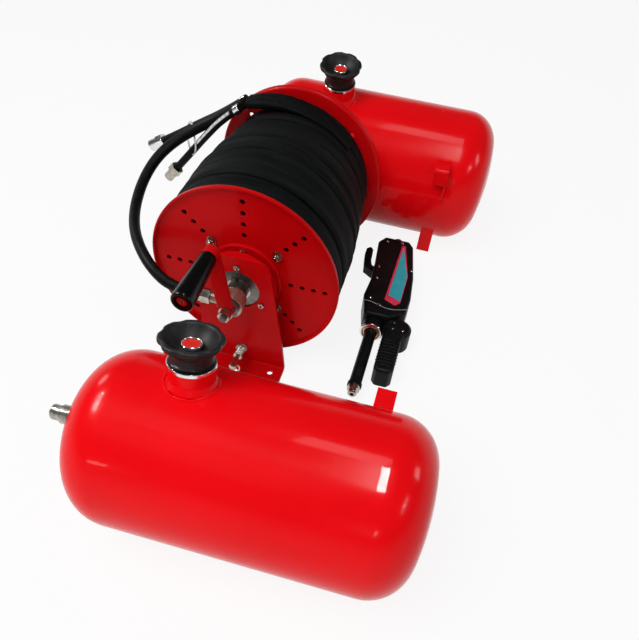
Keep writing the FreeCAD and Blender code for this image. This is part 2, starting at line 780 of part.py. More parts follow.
def dip_tube(tank, start):
    """Tube from the nipple down to the bottom of the tank."""
    x, y, offset, tilt, side = TANKS[tank]
    body = new_body(f"{tank}_dip_tube")
    spine = new_sketch(body, "XZ_Plane")
    bend = s.dip_bend.value
    drop = s.dip_drop.value
    run = 4.0
    first = spine.addGeometry(Part.LineSegment(Vector(0, 0, 0), Vector(run, 0, 0)), False)
    turn = spine.addGeometry(arc_through(Vector(run, -bend, 0), Vector(run, 0, 0), Vector(run + bend, -bend, 0)), False)
    last = spine.addGeometry(Part.LineSegment(Vector(run + bend, -bend, 0), Vector(run + bend, -drop, 0)), False)
    spine.addConstraint(Sketcher.Constraint("Coincident", first, 1, -1, 1))
    spine.addConstraint(Sketcher.Constraint("Tangent", first, 2, turn, 2))
    spine.addConstraint(Sketcher.Constraint("Tangent", turn, 1, last, 1))
    spine.addConstraint(Sketcher.Constraint("Horizontal", first))
    spine.addConstraint(Sketcher.Constraint("Vertical", last))
    for kind, index, size in (("Distance", first, as_size(run)), ("Radius", turn, s.dip_bend)):
        rule = spine.addConstraint(Sketcher.Constraint(kind, index, size.value))
        spine.setExpression(f"Constraints[{rule}]", size.text)
    pin_point(spine, last, 2, y=-s.dip_drop)
    wall = new_sketch(body, "YZ_Plane")
    draw_circle(wall, 0, 0, s.dip_radius)
    draw_circle(wall, 0, 0, s.dip_radius - 1.5)
    pipe = body.newObject("PartDesign::AdditivePipe", f"{tank}_dip_pipe")
    pipe.Profile = wall
    pipe.Spine = (spine, [])
    doc.recompute()
    return place(body, x - start, y - s.nipple_side, tank_z + s.nipple_rise)


rims, hooks, feet, nipples, dip_tubes = [], [], [], [], []
for tank in TANKS:
    tank_shell(tank)
    neck(tank)
    cap_seal(tank)
    cap(tank)
    rims.append(neck_rim(tank))
    fitting, start = nipple(tank)
    nipples.append(fitting)
    dip_tubes.append(dip_tube(tank, start))
    for end in (-1, 1):
        hooks.append(hook(tank, end))
        feet.append(foot(tank, end, s.inner_foot_reach, 1))
        feet.append(foot(tank, end, s.outer_foot_reach, -1))
group("neck_rims", rims)
group("tank_hooks", hooks)
group("tank_feet", feet)
group("outlet_nipples", nipples)
group("dip_tubes", dip_tubes)


# Reel. Front pieces are drawn with Z running out of the front plate towards -Y,
# rear pieces with Z running towards +Y.

FRONT = ALONG_MINUS_Y
REAR = TURNED_ROUND.multiply(ALONG_MINUS_Y)
SIDES = {"front": FRONT, "rear": REAR}

flange_in = s.drum_half - s.flange_sheet
hub_face = s.drum_half + s.hub_plate
hub_end = hub_face + s.hub_boss_length
plate_in = s.plate_out - s.plate_sheet
housing_in = plate_in - s.housing_depth
bearing_in = housing_in + s.housing_lip
bearing_out = bearing_in + s.bearing_width
shaft_front = s.arm_face - s.arm_thickness
union_back = s.union_front - s.union_length
stud_end = s.arm_face + s.washer_height + s.crank_nut_height + 6
fixed = s.fit_gap


def polar(radius, degrees):
    return radius * math.cos(math.radians(degrees)), radius * math.sin(math.radians(degrees))


def flange(side):
    """Dished steel flange with a turned edge and rows of punched holes."""
    lip_in = s.lip_bend - s.flange_sheet
    centre_r = s.flange_radius - s.lip_bend
    centre_z = flange_in + s.lip_bend
    body = new_body(f"{side}_flange")
    revolve(body, [
        (s.shaft_radius + 0.4, flange_in),
        (centre_r, flange_in),
        (s.flange_radius, centre_z, centre_r, centre_z),
        (s.flange_radius, flange_in + s.lip_length),
        (s.flange_radius - s.flange_sheet, flange_in + s.lip_length),
        (s.flange_radius - s.flange_sheet, centre_z),
        (centre_r, centre_z - lip_in, centre_r, centre_z),
        (s.shaft_radius + 0.4, s.drum_half),
    ])
    row = new_sketch(body, "XY_Plane")
    for number in range(4):
        draw_circle(row, s.row_first + s.row_pitch * number, 0, s.punch_radius)
    around(body, pocket_through(body, row), s.row_count)
    screw = new_sketch(body, "XY_Plane")
    draw_circle(screw, s.hub_screw_circle, 0, s.screw_radius + fixed)
    around(body, pocket_through(body, screw), 4)
    place(body, 0, 0, s.reel_height, SIDES[side])
    keep(f"{side}_flange", body)


def hub(side):
    body = new_body(f"{side}_hub")
    edge = as_size(1.5)
    revolve(body, [
        (s.shaft_radius + fixed, s.drum_half),
        (s.hub_radius, s.drum_half),
        (s.hub_radius, hub_face - edge),
        (s.hub_radius - edge, hub_face),
        (s.hub_boss_radius + edge, hub_face),
        (s.hub_boss_radius, hub_face + edge),
        (s.hub_boss_radius, hub_end - edge),
        (s.hub_boss_radius - edge, hub_end),
        (s.shaft_radius + fixed, hub_end),
    ])
    screw = new_sketch(body, "XY_Plane")
    draw_circle(screw, s.hub_screw_circle, 0, s.screw_radius + fixed)
    around(body, pocket_through(body, screw), 4)
    return place(body, 0, 0, s.reel_height, SIDES[side])


def socket_screw(label, x, y, face, length, rotation, z):
    """Socket screw whose head seats on a face, drawn along the outward axis."""
    head = s.screw_head_radius
    body = new_body(label)
    revolve(body, [
        (0, -length), (s.screw_radius, -length), (s.screw_radius, 0), (head, 0),
        (head, s.screw_head_height - 0.8), (head - 0.8, s.screw_head_height),
        (head / 2, s.screw_head_height), (head / 2, s.screw_head_height / 2), (0, s.screw_head_height / 2),
    ])
    turned_spot = spot_on(rotation, x, y, face)
    return place(body, turned_spot[0], turned_spot[1], turned_spot[2] + z, rotation)


def spot_on(rotation, x, y, out):
    """A point of a front or rear frame in the part's frame."""
    if rotation is FRONT:
        return as_size(x), -as_size(out), as_size(y)
    return -as_size(x), as_size(out), as_size(y)


def nut(label, x, y, face, half, height, bore, washer, rotation, z):
    """Washer and hexagon nut on a face."""
    body = new_body(label)
    ring = new_sketch(body, "XY_Plane")
    draw_circle(ring, 0, 0, washer)
    pad(body, ring, s.washer_height)
    hexagonal = new_sketch(body, "XY_Plane")
    hexagon(hexagonal, half)
    pad(body, hexagonal, height + s.washer_height)
    holes(body, [(0, 0)], bore)
    spot = spot_on(rotation, x, y, face)
    return place(body, spot[0], spot[1], spot[2] + z, rotation)


flange("front")
flange("rear")
group("flange_hubs", [hub(side) for side in SIDES])

barrel = turned(
    "barrel_tube", ring_outline(s.barrel_radius - s.barrel_wall, s.barrel_radius, -flange_in, flange_in),
    0, 0, s.reel_height, FRONT,
)
elbow_out = s.port_radius * 8 / 9
elbow_place = -(s.hub_boss_length * 10)
barrel_port = tool_cylinder(
    "barrel_port_tool", elbow_out + fixed, s.barrel_radius * 1.2, 0, elbow_place, s.reel_height, AS_DRAWN
)
keep("drum_barrel", cut("drum_barrel", barrel, [barrel_port]))

tie_spots = [polar(s.row_first, degrees) for degrees in (45, 135, 225, 315)]
ties, tie_nuts, hub_screws = [], [], []
for number, (x, y) in enumerate(tie_spots, 1):
    reach = s.drum_half + s.tie_end
    ties.append(turned(
        f"tie_rod_{number}",
        [(0, -reach), (s.tie_radius - 0.8, -reach), (s.tie_radius, -reach + 0.8), (s.tie_radius, reach - 0.8),
         (s.tie_radius - 0.8, reach), (0, reach)],
        x, 0, s.reel_height + y, FRONT,
    ))
    for side, rotation in SIDES.items():
        tie_nuts.append(nut(
            f"{side}_tie_nut_{number}", x, y, s.drum_half, s.nut_half, s.nut_height, s.tie_radius + fixed,
            s.washer_radius, rotation, s.reel_height,
        ))
for number, degrees in enumerate((0, 90, 180, 270), 1):
    x, y = polar(s.hub_screw_circle, degrees)
    for side, rotation in SIDES.items():
        hub_screws.append(socket_screw(
            f"{side}_hub_screw_{number}", x, y, hub_face, s.hub_plate + s.flange_sheet + 2, rotation, s.reel_height
        ))
group("tie_rods", ties)
group("tie_nuts", tie_nuts)
group("hub_screws", hub_screws)


def hose_pack():
    """Wound hose as one solid, with a bulge for each turn."""
    half = flange_in - s.pack_clearance
    width = half * 2 / s.turn_count
    low = s.pack_radius - s.turn_bulge
    radius = (width * width / 4 + s.turn_bulge * s.turn_bulge) / (s.turn_bulge * 2)
    outline = [(s.barrel_radius + s.pack_clearance, -half), (low, -half)]
    for number in range(int(s.turn_count.value)):
        outline.append((low, -half + width * (number + 1), s.pack_radius - radius, -half + width * (number + 0.5)))
    outline.append((s.barrel_radius + s.pack_clearance, half))
    keep("hose_pack", turned("hose_pack", outline, 0, 0, s.reel_height, FRONT))


hose_pack()

# Shaft, bearings and water union

clip_front = s.union_front
clip_back = union_back - s.circlip_width
shaft_rear = -(bearing_out + s.circlip_width + s.groove_depth * 10)
groove_r = s.shaft_radius - s.groove_depth
clips = [-bearing_out - s.circlip_width, bearing_out, clip_back, clip_front]
outline = [(0, shaft_rear), (s.shaft_radius - 1, shaft_rear), (s.shaft_radius, shaft_rear + 1)]
for low in clips:
    high = low + s.circlip_width
    outline += [(s.shaft_radius, low), (groove_r, low), (groove_r, high), (s.shaft_radius, high)]
outline += [
    (s.shaft_radius, shaft_front - 1), (s.shaft_radius - 1, shaft_front), (s.crank_stud_radius, shaft_front),
    (s.crank_stud_radius, stud_end - 1), (s.crank_stud_radius - 1, stud_end), (0, stud_end),
    (0, s.union_front - s.union_length / 4), (s.water_bore, s.union_front - s.union_length / 4),
    (s.water_bore, -elbow_place), (0, -elbow_place),
]
shaft_bar = turned("shaft_bar", outline, 0, 0, s.reel_height, FRONT)
seat = doc.addObject("Part::Box", "arm_seat_block")
bind(seat, Length=s.arm_seat, Width=s.arm_seat, Height=s.arm_thickness - 0.5)
place(seat, -s.arm_seat / 2, -shaft_front, s.reel_height - s.arm_seat / 2, FRONT)
shaft_block = fuse("shaft_blank", [shaft_bar, seat])
union_y = -(s.union_front - s.union_length / 2)
cross_hole = tool_cylinder(
    "union_cross_tool", s.water_bore * 0.7, s.shaft_radius * 2, -s.shaft_radius, union_y, s.reel_height, ALONG_X
)
elbow_hole = tool_cylinder(
    "elbow_cross_tool", elbow_out + fixed, s.shaft_radius * 1.2, 0, elbow_place, s.reel_height, AS_DRAWN
)
keep("reel_shaft", cut("reel_shaft", shaft_block, [cross_hole, elbow_hole]))

elbow = doc.addObject("Part::Cylinder", "elbow_outside")
elbow_low = s.water_bore + 1
bind(elbow, Radius=elbow_out, Height=s.barrel_radius - elbow_low)
place(elbow, 0, elbow_place, s.reel_height + elbow_low)
elbow_bore = tool_cylinder(
    "elbow_bore_tool", elbow_out * 0.7, s.barrel_radius * 1.2, 0, elbow_place, s.reel_height, AS_DRAWN
)
keep("drum_outlet", cut("drum_outlet", elbow, [elbow_bore]))


def bearing(side):
    rotation = SIDES[side]
    seal = s.running_clearance * 4
    land = s.bearing_radius - 5
    inset = as_size(0.6)
    outer = turned(
        f"{side}_bearing_outer",
        [(s.race_radius + s.running_clearance, bearing_in + inset), (land, bearing_in + inset), (land, bearing_in),
         (s.bearing_radius, bearing_in), (s.bearing_radius, bearing_out), (land, bearing_out),
         (land, bearing_out - inset), (s.race_radius + s.running_clearance, bearing_out - inset)],
        0, 0, s.reel_height, rotation,
    )
    inner = turned(
        f"{side}_bearing_inner", ring_outline(s.shaft_radius + fixed, s.race_radius, bearing_in, bearing_out),
        0, 0, s.reel_height, rotation,
    )
    return outer, inner


def housing(side):
    """Round bearing housing behind a side plate."""
    edge = as_size(2)
    body = new_body(f"{side}_housing")
    revolve(body, [
        (s.bearing_radius - 4, housing_in),
        (s.housing_radius - edge, housing_in),
        (s.housing_radius, housing_in + edge),
        (s.housing_radius, plate_in),
        (s.bearing_radius + fixed, plate_in),
        (s.bearing_radius + fixed, bearing_in),
        (s.bearing_radius - 4, bearing_in),
    ])
    spots = [polar(s.housing_screw_circle, degrees) for degrees in (90, 210, 330)]
    holes(body, spots, s.screw_radius + fixed)
    return place(body, 0, 0, s.reel_height, SIDES[side])


def circlip(label, low, rotation):
    outer = s.shaft_radius + s.circlip_height
    body = new_body(label)
    revolve(body, ring_outline(groove_r + fixed, outer, low, low + s.circlip_width))
    gap = new_sketch(body, "XY_Plane")
    draw(gap, [(2.5, 0), (4, outer + 2), (-4, outer + 2), (-2.5, 0)])
    pocket_through(body, gap)
    return place(body, 0, 0, s.reel_height, rotation)


outers, inners, housings, housing_screws = [], [], [], []
for side, rotation in SIDES.items():
    outer, inner = bearing(side)
    outers.append(outer)
    inners.append(inner)
    housings.append(housing(side))
    for degrees in (90, 210, 330):
        x, y = polar(s.housing_screw_circle, degrees)
        housing_screws.append(socket_screw(
            f"{side}_housing_screw_{degrees}", x, y, s.plate_out, s.plate_sheet + s.housing_depth - 2, rotation,
            s.reel_height,
        ))
group("bearing_outer_rings", outers)
group("bearing_inner_rings", inners)
group("bearing_housings", housings)
group("housing_screws", housing_screws)
group("circlips", [
    circlip("front_circlip", bearing_out, FRONT), circlip("rear_circlip", bearing_out, REAR),
    circlip("union_circlip", clip_front, FRONT), circlip("union_back_circlip", clip_back, FRONT),
])

union_ring = turned(
    "union_ring",
    [(s.shaft_radius + s.running_clearance, union_back + fixed), (s.shaft_radius + s.union_wall - 1, union_back + fixed),
     (s.shaft_radius + s.union_wall, union_back + 1), (s.shaft_radius + s.union_wall, s.union_front - 1),
     (s.shaft_radius + s.union_wall - 1, s.union_front - fixed),
     (s.shaft_radius + s.running_clearance, s.union_front - fixed)],
    0, 0, s.reel_height, FRONT,
)
union_port = tool_cylinder(
    "union_port", s.port_radius, s.port_reach - s.shaft_radius - 1, -s.shaft_radius - 1, union_y, s.reel_height,
    ALONG_MINUS_X,
)
union_bore = tool_cylinder(
    "union_bore_tool", s.port_radius * 0.6, s.port_reach, -s.shaft_radius, union_y, s.reel_height, ALONG_MINUS_X
)
keep("water_union", cut("water_union", fuse("water_union_blank", [union_ring, union_port]), [union_bore]))

# Stand


def side_plate(side):
    """Side plate with a foot turned outwards, cut to its outline."""
    body = new_body(f"{side}_plate")
    bend = s.plate_bend
    inner_bend = s.plate_bend - s.plate_sheet
    foot_out = plate_in + s.plate_foot
    section = new_sketch(body, "YZ_Plane")
    draw(section, [
        (s.plate_top, plate_in),
        (s.plate_top, s.plate_out),
        (bend, s.plate_out),
        (s.plate_sheet, s.plate_out + inner_bend, bend, s.plate_out + inner_bend),
        (s.plate_sheet, foot_out),
        (0, foot_out),
        (0, plate_in + bend),
        (bend, plate_in, bend, plate_in + bend),
    ])
    pad(body, section, s.plate_foot_half * 2, middle=True)
    half, foot, corner = s.plate_top_half, s.plate_foot_half, s.plate_corner
    outside = foot + 10
    outline = new_sketch(body, "XY_Plane")
    draw(outline, [(outside, -10), (outside, s.plate_top + 10), (-outside, s.plate_top + 10), (-outside, -10)])
    draw(outline, [
        (half - corner, s.plate_top),
        (half, s.plate_top - corner, half - corner, s.plate_top - corner),
        (half + (foot - half) * 0.29, s.plate_top * 2 / 3),
        (foot - 6, s.plate_top * 0.28),
        (foot, 0),
        (-foot, 0),
        (-foot + 6, s.plate_top * 0.28),
        (-half - (foot - half) * 0.29, s.plate_top * 2 / 3),
        (-half, s.plate_top - corner),
        (-half + corner, s.plate_top, -half + corner, s.plate_top - corner),
    ])
    pocket_through(body, outline)
    spots = [polar(s.housing_screw_circle, degrees) for degrees in (90, 210, 330)]
    window = new_sketch(body, "XY_Plane")
    draw_circle(window, 0, s.reel_height, s.plate_window)
    for x, y in spots:
        draw_circle(window, x, s.reel_height + y, s.screw_radius + fixed)
    if side == "front":
        draw_circle(window, 0, lock_z, s.lock_body_radius + fixed)
    pocket_through(body, window)
    floor_holes = new_sketch(body, "XZ_Plane")
    for end in (-1, 1):
        draw_circle(floor_holes, s.base_hole_x * end, s.plate_out + s.base_hole_inset, s.base_hole_radius)
    bore = pocket_through(body, floor_holes)
    bore.Type = "Length"
    bore.Length = 30
    doc.recompute()
    place(body, 0, 0, 0, SIDES[side])
    keep(f"{side}_side_plate", body)


lock_z = s.reel_height - s.row_first - s.row_pitch * 3
side_plate("front")
side_plate("rear")

strap = new_body("base_strap")
bend = s.base_sheet + 2
inside = plate_in - s.base_sheet
section = new_sketch(strap, "YZ_Plane")
draw(section, [
    (plate_in, s.base_tab), (inside, s.base_tab), (inside, bend),
    (inside - 2, s.base_sheet, inside - 2, bend),
    (-inside + 2, s.base_sheet), (-inside, bend, -inside + 2, bend), (-inside, s.base_tab), (-plate_in, s.base_tab),
    (-plate_in, bend), (-plate_in + bend, 0, -plate_in + bend, bend), (plate_in - bend, 0),
    (plate_in, bend, plate_in - bend, bend),
])
pad(strap, section, s.base_half * 2, middle=True)
holes(strap, [(0, lock_z)], s.lock_body_radius + fixed, "XZ_Plane")
place(strap)
keep("base_strap", strap)

# Crank

crank = Rotation(Vector(0, 0, 1), s.crank_angle.value)
CRANKED = FRONT.multiply(crank)
arm = new_body("crank_arm")
blade = new_sketch(arm, "XY_Plane")
wide = s.arm_width / 2
draw(blade, [
    (wide, s.crank_radius), (0, s.crank_radius + wide, 0, s.crank_radius),
    (-wide, s.crank_radius, 0, s.crank_radius), (-wide, 0), (0, -wide, 0, 0), (wide, 0, 0, 0),
])
pad(arm, blade, s.arm_thickness)
boss = new_sketch(arm, "XY_Plane")
draw_circle(boss, 0, s.crank_radius, s.crank_boss_radius)
pad(arm, boss, s.arm_thickness + s.crank_boss_length)
eye = new_sketch(arm, "XY_Plane")
draw_circle(eye, 0, s.crank_radius, s.grip_bolt_radius + fixed)
square = (s.arm_seat + fixed * 2) / 2
tilt = s.crank_angle.value
corners = [polar(square * math.sqrt(2), degrees - tilt) for degrees in (45, 135, 225, 315)]
draw(eye, corners)
pocket_through(arm, eye)
place(arm, 0, -shaft_front, s.reel_height, CRANKED)
keep("crank_arm", arm)
crank_nut = nut(
    "crank_nut_piece", 0, 0, s.arm_face, s.crank_nut_half, s.crank_nut_height, s.crank_stud_radius + fixed,
    s.crank_washer_radius, FRONT, s.reel_height,
)
keep("crank_nut", crank_nut)

grip_x = s.crank_radius * -math.sin(math.radians(tilt))
grip_z = s.reel_height + s.crank_radius * math.cos(math.radians(tilt))
grip_low = s.arm_face + s.crank_boss_length + 0.3
grip_top = grip_low + s.grip_length
bore = s.grip_bolt_radius + s.running_clearance
floor = grip_top - s.grip_recess_depth
widest = grip_top - s.grip_length / 6
keep("crank_grip", turned(
    "crank_grip",
    [(bore, grip_low), (s.grip_base_radius, grip_low), (s.grip_base_radius + 0.6, grip_low + 5),
     (s.grip_end_radius, widest), (s.grip_end_radius, grip_top - s.grip_round),
     (s.grip_end_radius - s.grip_round, grip_top, s.grip_end_radius - s.grip_round, grip_top - s.grip_round),
     (s.grip_recess_radius, grip_top), (s.grip_recess_radius, floor), (bore, floor)],
    grip_x, 0, grip_z, FRONT,
))
bolt_head = floor + 0.3
keep("grip_bolt", turned(
    "grip_bolt",
    [(0, shaft_front), (s.grip_bolt_radius, shaft_front), (s.grip_bolt_radius, bolt_head),
     (s.grip_recess_radius - 1, bolt_head), (s.grip_recess_radius - 1, bolt_head + 4),
     (s.grip_recess_radius - 2, bolt_head + 5), (3, bolt_head + 5), (3, bolt_head + 2.5), (0, bolt_head + 2.5)],
    grip_x, 0, grip_z, FRONT,
))

# Drum lock

lock_in = inside - 4
lock_out = s.plate_out + s.lock_body_length
pin_tip = s.drum_half + s.lock_gap
collar = s.plate_out + 6
lock_body = turned(
    "lock_body_tube",
    ring_outline(s.lock_pin_radius + s.running_clearance, s.lock_body_radius, lock_in, lock_out),
    0, 0, lock_z, FRONT,
)
lock_hex = new_body("lock_hexagon")
outline = new_sketch(lock_hex, "XY_Plane")
hexagon(outline, s.lock_body_radius * 1.2)
draw_circle(outline, 0, 0, s.lock_body_radius - 0.5)
pad(lock_hex, outline, collar - s.plate_out)
place(lock_hex, 0, -s.plate_out, lock_z, FRONT)
keep("lock_body", fuse("lock_body", [lock_body, lock_hex]))
knob_low = lock_out + s.lock_knob_gap
knob_top = knob_low + s.lock_knob_length
keep("lock_pin", turned(
    "lock_pin",
    [(0, pin_tip), (s.lock_pin_radius - 1, pin_tip), (s.lock_pin_radius, pin_tip + 1), (s.lock_pin_radius, knob_low),
     (s.lock_knob_radius, knob_low + 1), (s.lock_knob_radius, knob_top - 2), (s.lock_knob_radius - 2, knob_top),
     (0, knob_top)],
    0, 0, lock_z, FRONT,
))

# Loose hoses. A hose is straight runs joined by tangent arcs.


def hose(label, points, radius):
    spots = [Vector(*point) for point in points]
    runs = [(spots[i + 1] - spots[i]) for i in range(len(spots) - 1)]
    edges = []
    start = spots[0]
    length = 0.0
    radii = []
    for number in range(1, len(spots) - 1):
        before, after = runs[number - 1], runs[number]
        shorter = min(before.Length, after.Length)
        turn = before.getAngle(after)
        set_back = 0.45 * shorter
        bend = set_back / math.tan(turn / 2)
        radii.append(round(bend, 1))
        first = spots[number] - Vector(before).normalize() * set_back
        last = spots[number] + Vector(after).normalize() * set_back
        inward = (first + last) * 0.5 - spots[number]
        middle = spots[number] + Vector(inward).normalize() * (bend / math.cos(turn / 2) - bend)
        edges.append(Part.LineSegment(start, first).toShape())
        edges.append(Part.Arc(first, middle, last).toShape())
        length += (first - start).Length + bend * turn
        start = last
    edges.append(Part.LineSegment(start, spots[-1]).toShape())
    length += (spots[-1] - start).Length
    ring = Part.Wire([Part.Circle(spots[0], runs[0], radius.value).toShape()])
    solid = Part.Wire(edges).makePipeShell([ring], True, True)
    section = math.pi * radius.value ** 2 * length
    print(f"{label}: length {length:.1f}, bend radii {radii}, volume ratio {solid.Volume / section:.4f}")
    feature = doc.addObject("Part::Feature", label)
    feature.Label = label
    feature.Shape = solid
    keep(label, feature)
    return feature


port_end = s.port_reach + s.hose_nut_length * 0.8
supply_nut = new_body("supply_nut")
outline = new_sketch(supply_nut, "XY_Plane")
hexagon(outline, s.hose_nut_half)
pad(supply_nut, outline, s.hose_nut_length)
collar_ring = new_sketch(supply_nut, "XY_Plane")
draw_circle(collar_ring, 0, 0, s.supply_hose_radius + s.ferrule_wall)
pad(supply_nut, collar_ring, s.hose_nut_length + 10)
deep = new_sketch(supply_nut, "XY_Plane")
draw_circle(deep, 0, 0, s.port_radius * 0.6)
pocket_through(supply_nut, deep)
place(supply_nut, -s.port_reach, union_y, s.reel_height, ALONG_MINUS_X)
keep("supply_nut", supply_nut)
hose_start = -(s.port_reach + s.hose_nut_length + 10).value

hose("supply_hose", [
    (hose_start, union_y.value, s.reel_height.value), (-106, union_y.value, s.reel_height.value), (-146, -218, 191),
    (-185, -180, 199),
    (-219, -129, 194), (-243, -72, 195), (-255, -8, 205), (-249, 44, 221), (-227, 84, 237),
    (-190, 112, 256), (-146, 125, 279), (-99.9, 125, 312.5),
], s.supply_hose_radius)
hose("upper_tail", [
    (-99.9, 143, 312.5), (-146, 143, 279), (-200, 144, 247), (-246, 139, 219), (-278, 137, 201),
], s.tail_hose_radius)
hose("lower_tail", [
    (-99.9, 107, 312.5), (-134.7, 107, 287.2), (-173, 105, 246), (-206, 102, 208), (-238, 100, 172),
], s.tail_hose_radius)


sleeve = new_body("sleeve_end")
section = new_sketch(sleeve, "XZ_Plane")
low = s.pack_radius + s.pack_clearance * 2
high = low + s.sleeve_height
edge = as_size(3)
wide = s.sleeve_half_width
draw(section, [
    (low, -wide + edge), (low + edge, -wide), (high - edge, -wide), (high, -wide + edge),
    (high, wide - edge), (high - edge, wide), (low + edge, wide), (low, wide - edge),
])
turn = sleeve.newObject("PartDesign::Revolution", "sleeve_turn")
turn.Profile = section
turn.ReferenceAxis = (section, ["V_Axis"])
turn.Angle = 34
doc.recompute()
place(sleeve, 0, 125, s.reel_height, FRONT.multiply(Rotation(Vector(0, 0, 1), 92)))
keep("sleeve_end", sleeve)


def hose_nut(label, start, direction, bore, collar):
    """Hexagon nut with a short collar, open at its far end."""
    body = new_body(label)
    outline = new_sketch(body, "XY_Plane")
    draw_circle(outline, 0, 0, collar)
    pad(body, outline, s.hose_nut_length + 18)
    outline = new_sketch(body, "XY_Plane")
    hexagon(outline, s.hose_nut_half)
    pad(body, outline, s.hose_nut_length)
    holes(body, [(0, 0)], bore)
    rotation = Rotation(Vector(0, 0, 1), Vector(*direction))
    place(body, start[0], start[1], start[2], rotation)
    return body


swivel_direction = (-32, -2, -18)
keep("swivel_nut", hose_nut("swivel_nut", (-278, 137, 201), swivel_direction, s.hose_nut_half * 0.6, s.hose_nut_half))
keep("hex_nut", hose_nut("hex_nut", (-238, 100, 172), (-32, -2, -36), s.hose_nut_half * 0.6, s.hose_nut_half - 1.5))

ferrules = []
for side, middle in (("upper", 143), ("lower", 107)):
    ferrules.append(turned(
        f"{side}_ferrule",
        ring_outline(s.tail_hose_radius + fixed, s.tail_hose_radius + s.ferrule_wall, 2, s.ferrule_length + 2),
        -99.9, middle, 312.5, Rotation(Vector(0, 0, 1), Vector(-46.1, 0, -33.5)),
    ))
group("sleeve_ferrules", ferrules)

# Spray gun, lying on its side with its lance towards the front tank. Its own frame has
# its origin on the floor under the front of the lance collar, with Y to the gun's back.


def gun_spots(spots):
    """Outline points from shares of the gun's width and length."""
    return [(s.gun_width * across, s.gun_length * along) for across, along in spots]


def slab(label, spots, low, high, corner=None):
    """A flat piece between two heights, with rounded corners where asked."""
    body = new_body(label)
    outline = new_sketch(body, "XY_Plane")
    draw(outline, gun_spots(spots))
    pad(body, outline, high - low)
    if corner is not None:
        upright = lambda edge, middle: abs(edge.tangentAt(edge.FirstParameter).z) > 0.9
        round_edges(body, corner, upright)
    return place(body, s.gun_x, s.gun_y, low)


def gun_turned(label, outline, rotation=ALONG_MINUS_Y):
    return turned(label, outline, s.gun_x, s.gun_y, s.gun_axis, rotation)


def flat_edge(edge, middle):
    return abs(edge.tangentAt(edge.FirstParameter).z) < 0.1


housing_front = s.gun_length * 0.03
gun_housing = slab("gun_housing", [
    (-0.24, 0.03), (-0.37, 0.24), (-0.33, 0.43), (-0.36, 0.65), (-0.43, 0.92), (-0.3, 1), (0.28, 1),
    (0.4, 0.94), (0.59, 0.55), (0.65, 0.3), (0.63, 0.12), (0.27, 0.03),
], as_size(0), s.gun_depth, s.gun_corner)
round_edges(gun_housing, s.gun_edge, flat_edge)
slot_low = s.gun_axis - s.trigger_depth / 2 - s.trigger_play
slot_high = s.gun_axis + s.trigger_depth / 2 + s.trigger_play
trigger_slot = slab("trigger_slot", [(-0.8, 0.51), (-0.07, 0.51), (-0.07, 0.94), (-0.8, 0.94)], slot_low, slot_high)
pivot_x = s.gun_x - s.gun_width * 0.24
pivot_y = s.gun_y + s.gun_length * 0.59
pin_low = s.trigger_pin_radius
pin_bore = tool_cylinder(
    "pin_bore", s.trigger_pin_radius + fixed, s.gun_depth, pivot_x, pivot_y, pin_low, AS_DRAWN,
)
keep("gun_body", cut("gun_body", gun_housing, [trigger_slot, pin_bore]))
trigger_pin = new_body("trigger_pin")
outline = new_sketch(trigger_pin, "XY_Plane")
draw_circle(outline, 0, 0, s.trigger_pin_radius)
pad(trigger_pin, outline, s.gun_depth - pin_low)
keep("trigger_pin", place(trigger_pin, pivot_x, pivot_y, pin_low))
trigger = slab("trigger_blade", [
    (-0.36, 0.59), (-0.26, 0.55), (-0.13, 0.57), (-0.13, 0.63), (-0.43, 0.68), (-0.49, 0.75), (-0.51, 0.88),
    (-0.59, 0.915), (-0.67, 0.88), (-0.67, 0.8), (-0.6, 0.65),
], slot_low + s.trigger_play, slot_high - s.trigger_play, s.trigger_pin_radius)
trigger_bore = tool_cylinder(
    "trigger_bore", s.trigger_pin_radius + s.running_clearance, s.gun_depth, pivot_x, pivot_y, 0, AS_DRAWN,
)
keep("gun_trigger", cut("gun_trigger", trigger, [trigger_bore]))

panel_low = s.gun_depth
keep("gun_panel", slab("gun_panel", [
    (0.14, 0.91), (0.1, 0.215), (0.35, 0.17), (0.45, 0.21), (0.46, 0.53), (0.22, 0.915),
], panel_low, panel_low + s.panel_height))
keep("gun_inlay", slab("gun_inlay", [
    (0.185, 0.895), (0.15, 0.27), (0.44, 0.225), (0.445, 0.53),
], panel_low + s.panel_height, panel_low + s.panel_height * 1.5))

palm_high = s.gun_depth - s.gun_corner
gun_palm = turned("gun_palm", [
    (0, 0), (s.palm_radius - 3, 0), (s.palm_radius, 3), (s.palm_radius, palm_high - 5),
    (s.palm_radius - 5, palm_high), (0, palm_high),
], s.gun_x + s.grip_offset, s.gun_y - s.grip_back)
handle = new_body("gun_handle")
outline = new_sketch(handle, "XY_Plane")
half = s.grip_width / 2
draw(outline, [
    (-half, 0), (-half, half * 0.5 - s.front_grip_length), (-half * 0.6, -s.front_grip_length),
    (half * 0.6, -s.front_grip_length), (half, half * 0.5 - s.front_grip_length), (half, 0),
])
pad(handle, outline, s.grip_depth)
half_way = -s.front_grip_length.value / 2
handle_top = s.grip_depth.value - 0.1
round_edges(handle, s.gun_corner, lambda edge, middle: middle.y < half_way and 1 < middle.z < handle_top)
round_edges(handle, s.gun_edge, lambda edge, middle: middle.z > handle_top and middle.y < -0.5)
place(handle, s.gun_x + s.grip_offset - half * 0.32, s.gun_y - s.grip_back, 0)
grip = fuse("grip_blank", [gun_palm, handle])
keep("gun_grip", cut("gun_grip", grip, [gun_housing]))

